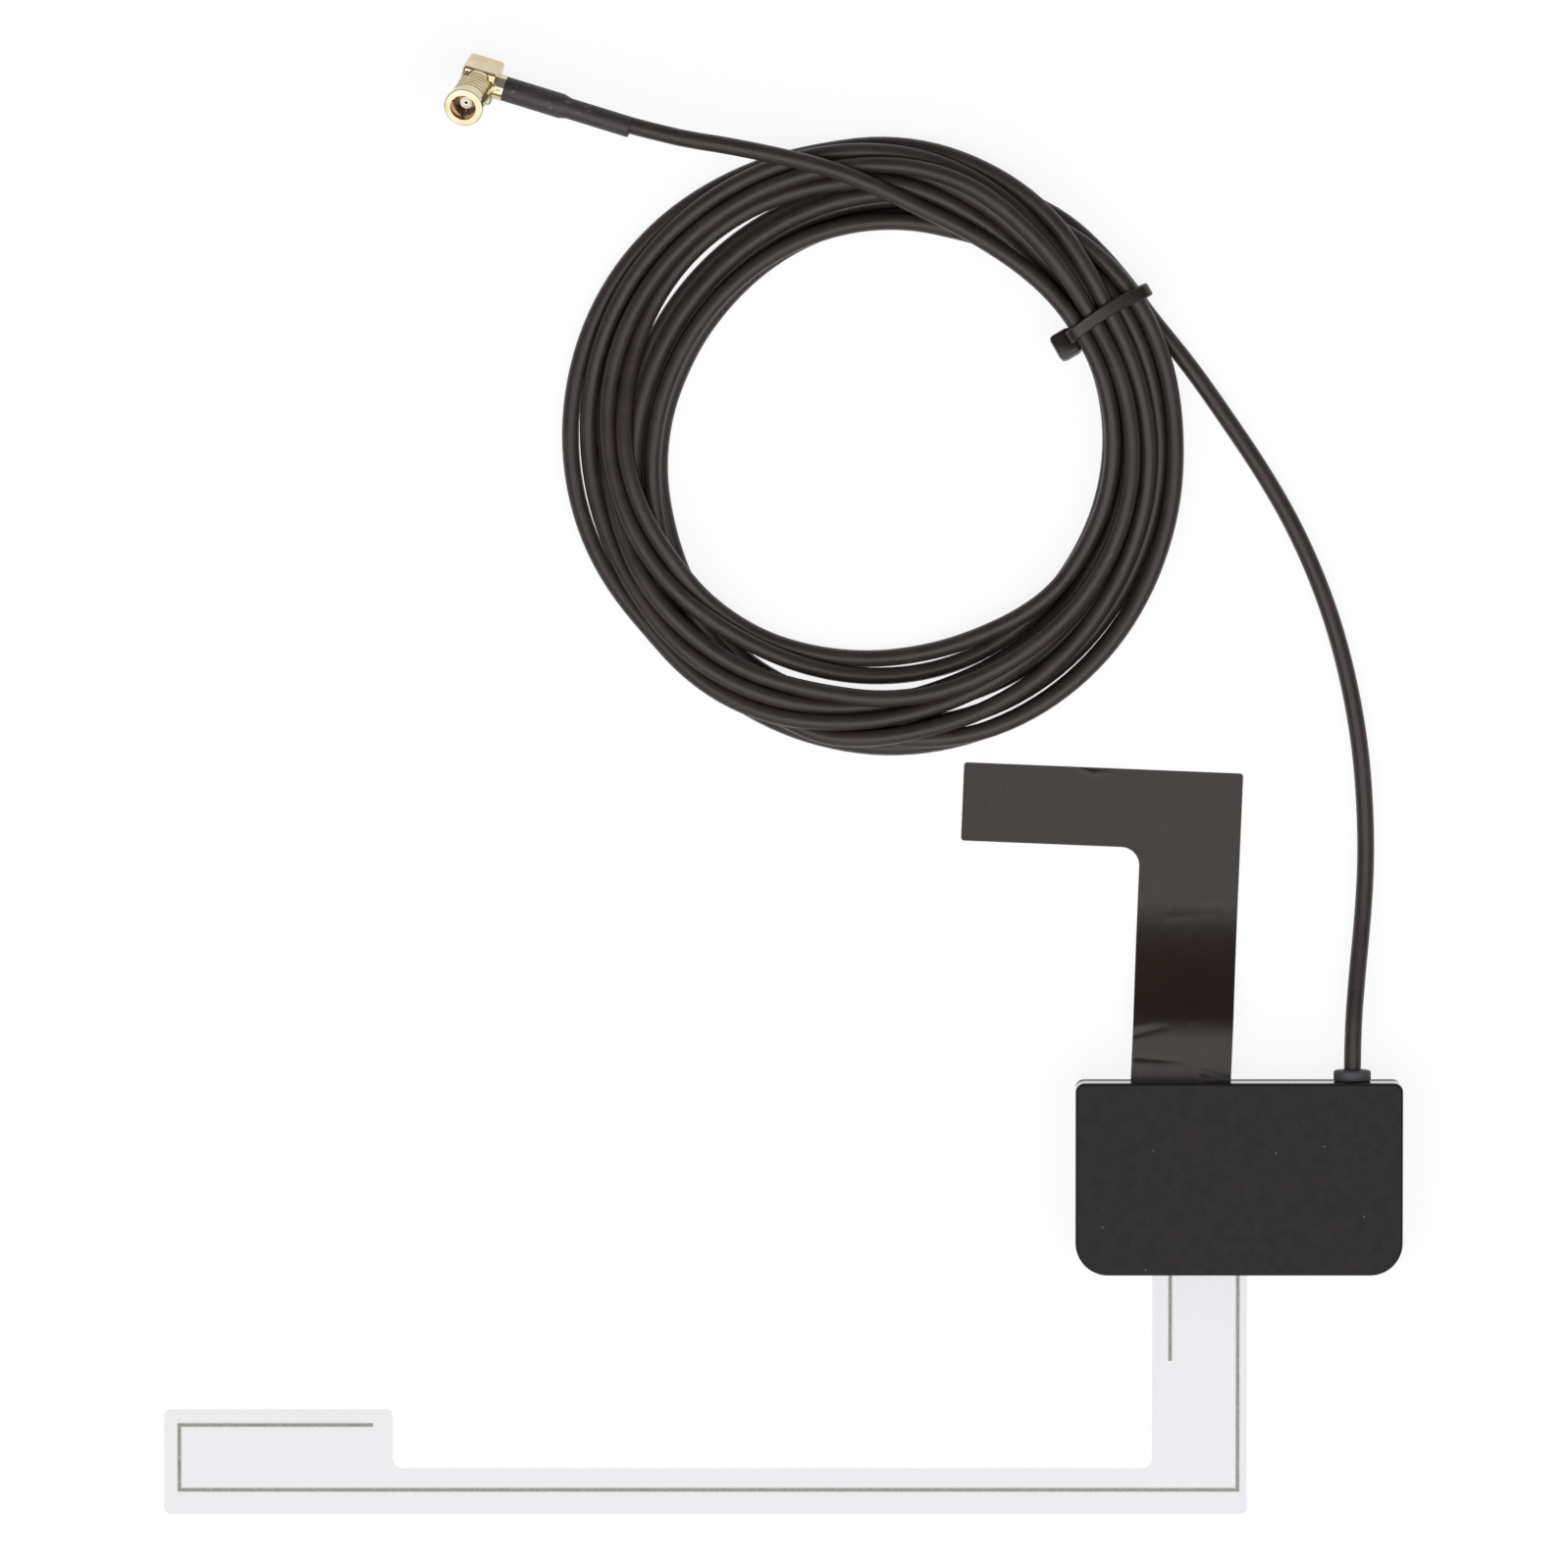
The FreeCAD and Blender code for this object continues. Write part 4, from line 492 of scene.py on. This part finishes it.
def settleTurns(degrees, goal):
    # the turns sink until they lie on the table and on each other, and none shares its room with another
    perTurn, half = lead["perTurn"], lead["diameter"] / 2
    turns = -(-len(goal) // perTurn)  # the last one may be part of a turn
    size = turns * perTurn
    real = (np.arange(size) < len(goal)).reshape(turns, perTurn)
    goal = np.pad(goal, (0, size - len(goal)), mode="edge")
    nearest, farthest, lowest, highest = roomRound(degrees[0] + np.arange(size) * 360 / perTurn)
    # each turn starts in its lane, above the one before
    radius, height = goal.copy(), half + half * np.arange(size) / perTurn
    for again in range(settling["rounds"]):
        height -= settling["sink"]
        radius += settling["pull"] * (goal - radius)
        for values, base in ((radius, goal), (height, 0)):  # a cable bends gently
            off = values - base
            off[1:-1] += settling["stiffness"] * ((off[:-2] + off[2:]) / 2 - off[1:-1])
            values[:] = off + base
        for between in (0, 0.5, 0, 0.5):  # at the points, and half-way between them
            here = [values + between * (np.roll(values, -1) - values) for values in (radius, height)]
            across, up = (values.reshape(turns, perTurn).copy() for values in here)
            pushApart(across, up, real & np.roll(real, -1) if between else real)
            for values, before, after in ((radius, here[0], across), (height, here[1], up)):
                moved = after.ravel() - before
                values += moved + between * (np.roll(moved, 1) - moved)
            height[:] = np.clip(height, lowest, highest)
            radius[:] = np.clip(radius, nearest, farthest)
    return radius[real.ravel()], height[real.ravel()]


def leadPoints():
    # the whole route: out of the gland, round the hank and on to the plug
    degrees, goal = laneRadii()
    radius, height = settleTurns(degrees, goal)
    angle = np.radians(degrees)
    middle = lead["middle"]
    turns = np.stack([middle[0] + radius * np.cos(angle), middle[1] + radius * np.sin(angle), height], 1)
    return np.concatenate([lead["fromGland"], turns, lead["toPlug"]])


def smoothCurve(name, points):
    # one open NURBS spline with these control points, in millimetres
    curve = bpy.data.curves.new(name, "CURVE")
    curve.dimensions = "3D"
    spline = curve.splines.new("NURBS")
    spline.points.add(len(points) - 1)
    spline.points.foreach_set("co", np.c_[np.array(points) * mm, np.ones(len(points))].ravel())
    spline.order_u = 3
    spline.use_endpoint_u = True
    spline.resolution_u = 4
    strand = bpy.data.objects.new(name, curve)
    bpy.context.scene.collection.objects.link(strand)
    return strand


def makeLead():
    # the round jacket along its route, and the route's length
    points = leadPoints()
    jacket = smoothCurve("leadCable", points)
    jacket.data.bevel_depth = lead["diameter"] / 2 * mm
    jacket.data.bevel_resolution = 3
    jacket.data.use_fill_caps = True
    jacket.data.twist_mode = "Z_UP"
    jacket.data.materials.append(made["extrudedPvc"])
    return jacket, float(np.linalg.norm(np.diff(points, axis=0), axis=1).sum()) * mm


cable, cableLength = makeLead()
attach(cable, "root")
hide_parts("cable_lead", "cable_coil", "cable_tail")
print("lead of", round(cableLength, 3), "m")


def finishMesh(build, name, finish, sharpFrom):
    # millimetres to metres, smooth faces with sharp edges where they turn by more than this, and the finish
    bmesh.ops.scale(build, vec=(mm, mm, mm), verts=build.verts)
    mesh = bpy.data.meshes.new(name)
    build.to_mesh(mesh)
    build.free()
    mesh.shade_smooth()
    mesh.set_sharp_from_angle(angle=math.radians(sharpFrom))
    mesh.materials.append(made[finish])
    piece = bpy.data.objects.new(name, mesh)
    bpy.context.scene.collection.objects.link(piece)
    return piece


def turnAbout(axis, degrees):
    return Matrix.Rotation(math.radians(degrees), 3, axis)


tie = {
    "angle": 30,  # degrees round the hank
    "band": [  # radius, aside and height of the strap's middle, from the head over the turns and back
        (33.1, -0.9, 3.6), (33.45, -0.7, 5.6), (33.75, -0.55, 6.9), (35.0, -0.35, 7.65), (37.2, -0.05, 7.8),
        (40.0, 0.15, 7.8), (42.4, 0.2, 7.5), (44.3, 0.05, 7.1), (46.2, -0.2, 6.5), (47.3, -0.3, 5.5),
        (47.45, -0.35, 3.8), (47.3, -0.35, 2.0), (46.9, -0.35, 0.8), (45.6, -0.3, 0.42), (40.4, -0.3, 0.42),
        (35.2, -0.5, 0.42), (33.9, -0.65, 0.75), (33.5, -0.7, 1.8), (33.1, -0.9, 2.9),
    ],
    "width": 2.0,
    "thickness": 0.8,
    "brokenEdge": 0.18,
    "head": (32.4, -1.4, 3.4),  # radius, aside, height of its middle
    "headSize": (3.6, 4.2, 3.4),
    "lean": -14,  # degrees that the head leans over
    "bevel": 0.7,
    "slotRim": 0.35,
    "slotDepth": 0.15,
    "sharpFrom": 35,  # degrees between faces
}


def sweepStrap(build):
    # a flat strap with broken edges along the band
    run = smoothCurve("strapRun", tie["band"])
    line = bpy.data.meshes.new_from_object(run)
    path = np.array([vert.co for vert in line.vertices]) / mm
    bpy.data.objects.remove(run)
    along = np.gradient(path, axis=0)
    along /= np.linalg.norm(along, axis=1)[:, None]
    side, thick, broken = tie["width"] / 2, tie["thickness"] / 2, tie["brokenEdge"]
    section = [(side - broken, thick), (side, thick - broken)]
    section += [(u, -v) for u, v in reversed(section)]
    section += [(-u, v) for u, v in reversed(section)]
    rings = []
    for (r, aside, z), (dr, da, dz) in zip(path, along):
        rings.append([build.verts.new((r - v * dz, u + aside, z + v * dr)) for u, v in section])
    for a, b in zip(rings[:-1], rings[1:]):
        for i in range(len(section)):
            build.faces.new((a[i], a[i - 1], b[i - 1], b[i]))
    build.faces.new(rings[0])
    build.faces.new(rings[-1][::-1])


def addHead(build):
    # a leaning block with round edges, and its slot filled by the strap's cut end
    block = bmesh.ops.create_cube(build, size=1)["verts"]
    bmesh.ops.scale(build, vec=tie["headSize"], verts=block)
    bmesh.ops.translate(build, vec=tie["head"], verts=block)
    bmesh.ops.rotate(build, cent=tie["head"], matrix=turnAbout("X", tie["lean"]), verts=block)
    rims = list({rim for vert in block for rim in vert.link_edges})
    rounded = bmesh.ops.bevel(build, geom=rims, offset=tie["bevel"], segments=2, profile=0.5, affect="EDGES")
    faces = [face for vert in rounded["verts"] for face in vert.link_faces]
    top = max(faces, key=lambda face: face.calc_center_median().z)
    bmesh.ops.inset_individual(build, faces=[top], thickness=tie["slotRim"])
    plugged = bmesh.ops.extrude_discrete_faces(build, faces=[top])["faces"][0]
    bmesh.ops.translate(build, vec=(0, 0, -tie["slotDepth"]), verts=plugged.verts)


def makeTie():
    # made beside the frame's origin, then turned to its place round the hank
    build = bmesh.new()
    sweepStrap(build)
    addHead(build)
    bmesh.ops.recalc_face_normals(build, faces=build.faces[:])
    bmesh.ops.rotate(build, cent=(0, 0, 0), matrix=turnAbout("Z", tie["angle"]), verts=build.verts)
    bmesh.ops.translate(build, vec=(*lead["middle"], 0), verts=build.verts)
    return finishMesh(build, "strapTie", "mouldedNylon", tie["sharpFrom"])


strap = makeTie()
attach(strap, "root")
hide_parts("cable_tie")
print("tie of", len(strap.data.polygons), "faces")


foil = {
    "from": (-8.85, 14.75),  # middle of the leg at the housing's wall
    "turn": -2.35,  # degrees
    "leg": 15.3,
    "reach": 47.1,
    "arm": 42.7,
    "armDepth": 12.0,
    "tuck": 8.0,  # length inside the slit
    "corner": 0.5,
    "innerCorner": 2.8,
    "cornerSteps": 8,
    "thickness": 0.2,
    "cell": 0.35,
    "leastCell": 0.05,  # a narrower strip isn't cut off
    "level": 4.5,  # height in the slit
    "falls": [  # distance from the wall and how steep the sheet is there, as shares
        (6.0, 0), (8.6, 0.28), (10.8, 1.0), (27.5, 0),
    ],
    "fallStep": 0.05,
    "marks": [  # from, to, width and height of each crease: across the leg and away from the wall
        ((-7.7, 6.7), (-2.6, 8.2), 0.75, -0.14), ((-7.7, 7.9), (-4.6, 9.0), 0.7, 0.07),
        ((-6.9, 3.4), (0.2, 3.0), 0.65, -0.17), ((-7.6, 2.2), (-2.0, 1.9), 0.9, 0.07),
        ((3.2, 1.5), (7.4, 0.6), 1.0, -0.14), ((1.0, 9.3), (7.6, 10.2), 0.9, 0.05),
        ((2.0, 27.5), (7.6, 27.8), 0.7, 0.03), ((-3.0, 24.6), (4.5, 25.4), 0.9, 0.03),
        ((-7.6, 13.0), (-5.0, 13.6), 0.8, -0.05), ((-18.0, 47.1), (-15.4, 46.2), 0.6, 0.2),
        ((-15.4, 46.2), (-12.8, 46.5), 0.5, 0.14),
    ],
    "markFlank": 1.5,  # power that makes a crease's flanks hollow
    "markFade": 0.6,  # share of its height that a crease loses by its end
    "sharpFrom": 50,  # degrees between faces
}


def creaseHeight(x, d):
    # what the creases add to the sheet's height
    total = 0
    for (x0, d0), (x1, d1), width, height in foil["marks"]:
        span = np.array((x1 - x0, d1 - d0))
        t = min(1, max(0, np.dot((x - x0, d - d0), span) / np.dot(span, span)))
        away = math.hypot(x - x0 - t * span[0], d - d0 - t * span[1])
        total += height * max(0, 1 - away / width) ** foil["markFlank"] * (1 - foil["markFade"] * t)
    return total


def foilOutline(left, half, inner, far):
    # the flat L, with its rounded corners
    near, small = -foil["tuck"], foil["corner"]
    corners = [  # place and radius, round the outline
        (-half, near, small), (half, near, small), (half, far, small),
        (left, far, small), (left, inner, small), (-half, inner, foil["innerCorner"]),
    ]
    outline = []
    for i, (x, d, radius) in enumerate(corners):
        here = np.array((x, d))
        ways = [np.array(corners[(i + k) % len(corners)][:2]) - here for k in (-1, 1)]
        start, stop = (here + radius * way / np.linalg.norm(way) for way in ways)
        pivot = start + stop - here
        for step in range(foil["cornerSteps"] + 1):
            turn = step / foil["cornerSteps"] * math.pi / 2
            outline.append(pivot + (start - pivot) * math.cos(turn) + (stop - pivot) * math.sin(turn))
    return outline


def makeFoil():
    # the outline is cut into small cells, laid over its run and given its thickness
    half, far, inner = foil["leg"] / 2, foil["reach"], foil["reach"] - foil["armDepth"]
    left, rest = half - foil["arm"], foil["thickness"] / 2
    build = bmesh.new()
    build.faces.new([build.verts.new((x, d, 0)) for x, d in foilOutline(left, half, inner, far)])
    for axis, low, high in ((0, left, half), (1, -foil["tuck"], far)):
        for cut in np.arange(low + foil["cell"], high - foil["leastCell"], foil["cell"]):
            spot, way = [0, 0, 0], [0, 0, 0]
            spot[axis], way[axis] = cut, 1
            whole = build.verts[:] + build.edges[:] + build.faces[:]
            bmesh.ops.bisect_plane(build, geom=whole, plane_co=spot, plane_no=way)
    along = np.arange(-foil["tuck"], far, foil["fallStep"])
    # level out of the slit, a soft crease, then a long sweep down
    drop = np.cumsum(np.interp(along, *np.array(foil["falls"]).T))
    drop *= (foil["level"] - rest) / drop[-1]
    for vert in build.verts:
        x, d = vert.co.xy
        vert.co.z = max(foil["level"] - np.interp(d, along, drop) + creaseHeight(x, d), rest) + rest
    bmesh.ops.recalc_face_normals(build, faces=build.faces[:])
    bmesh.ops.solidify(build, geom=build.faces[:], thickness=foil["thickness"])
    bmesh.ops.rotate(build, cent=(0, 0, 0), matrix=turnAbout("Z", foil["turn"]), verts=build.verts)
    bmesh.ops.translate(build, vec=(*foil["from"], 0), verts=build.verts)
    return finishMesh(build, "foilSheet", "laminatedFoil", foil["sharpFrom"])


sheet = makeFoil()
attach(sheet, "root")
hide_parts("ground_foil")
print("foil of", len(sheet.data.polygons), "faces")


table = {
    "size": 6.0,  # metres
    "below": 0.05,  # millimetres under the film, which would flicker on it
    "colour": "#fdfdfd",
    "shadow": 0.12,  # how much of the real shadow the camera sees, and how much mirrors show
    "mirroredShadow": 0.25,
}


def paperSweep():
    # Plain white paper: white to the eye and in mirrors, and it keeps a soft shadow.
    material = bpy.data.materials.new("paperSweep")
    material.use_nodes = True
    tree = material.node_tree
    tree.nodes.clear()
    paper = addNode(tree, "BsdfDiffuse", {"Color": linear(table["colour"])}).outputs[0]
    white = addNode(tree, "Emission", {"Color": linear("#ffffff"), "Strength": 1.0}).outputs[0]
    ray = addNode(tree, "LightPath").outputs
    rays = {0: ray["Is Camera Ray"], 1: ray["Is Transmission Ray"]}
    straight = addNode(tree, "Math", {"operation": "MAXIMUM"}, rays).outputs[0]
    bySight = {"operation": "MULTIPLY", 1: 1 - table["shadow"]}
    seen = addNode(tree, "Math", bySight, {0: straight}).outputs[0]
    byMirror = {"operation": "MULTIPLY", 1: 1 - table["mirroredShadow"]}
    mirrored = addNode(tree, "Math", byMirror, {0: ray["Is Glossy Ray"]}).outputs[0]
    part = addNode(tree, "Math", {"operation": "MAXIMUM"}, {0: seen, 1: mirrored}).outputs[0]
    mix = addNode(tree, "MixShader", links={0: part, 1: paper, 2: white}).outputs[0]
    addNode(tree, "OutputMaterial", links={"Surface": mix})
    return material


def makeTable():
    half, level = table["size"] / 2, -table["below"] * mm
    mesh = bpy.data.meshes.new("table")
    corners = [(-half, -half, level), (half, -half, level), (half, half, level), (-half, half, level)]
    mesh.from_pydata(corners, [], [(0, 1, 2, 3)])
    mesh.materials.append(paperSweep())
    top = bpy.data.objects.new("table", mesh)
    bpy.context.scene.collection.objects.link(top)


lamp = {
    "sky": 0.25,  # a plain grey studio all round
    "skyColour": "#f4f5f7",
    "aim": (-0.07, 0.06, 0),  # metres
    "boxes": [  # name, place, width, height, watts: a broad one above, a dimmer one on down to the front
        ("overhead", (-0.07, -0.464, 1.826), 3.0, 1.31, 32),
        ("front", (-0.07, -1.374, 1.246), 3.0, 0.95, 11.6),
    ],
}


def makeLight():
    world = bpy.data.worlds.new("studio")
    bpy.context.scene.world = world
    world.use_nodes = True
    tree = world.node_tree
    tree.nodes.clear()
    sky = addNode(tree, "Background", {"Color": linear(lamp["skyColour"]), "Strength": lamp["sky"]})
    addNode(tree, "OutputWorld", links={"Surface": sky.outputs[0]})
    for name, place, width, height, watts in lamp["boxes"]:
        box = bpy.data.lights.new(name, "AREA")
        box.shape = "RECTANGLE"
        box.size, box.size_y, box.energy = width, height, watts
        hung = bpy.data.objects.new(name, box)
        hung.location = place
        hung.rotation_euler = (Vector(lamp["aim"]) - Vector(place)).to_track_quat("-Z", "Y").to_euler()
        hung.visible_camera = False
        bpy.context.scene.collection.objects.link(hung)


camera = {
    "lens": 400,
    "sensor": 36,
    "away": 2.6633,  # metres, and how far it sees
    "sight": 20,
    "aim": (-69.48, 59.9, 0),
    "tilt": 4.2,  # degrees from straight down
}


def makeCamera():
    data = bpy.data.cameras.new("camera")
    data.lens = camera["lens"]
    data.sensor_width = camera["sensor"]
    data.clip_end = camera["sight"]
    eye = bpy.data.objects.new("camera", data)
    tilt = math.radians(camera["tilt"])
    aim = Vector(camera["aim"]) * mm
    eye.location = aim + camera["away"] * Vector((0, math.sin(tilt), math.cos(tilt)))
    eye.rotation_euler = (-tilt, 0, 0)
    bpy.context.scene.collection.objects.link(eye)
    bpy.context.scene.camera = eye


makeTable()
makeLight()
makeCamera()
bpy.context.scene.view_settings.view_transform = "Standard"
print("table, light and camera set")
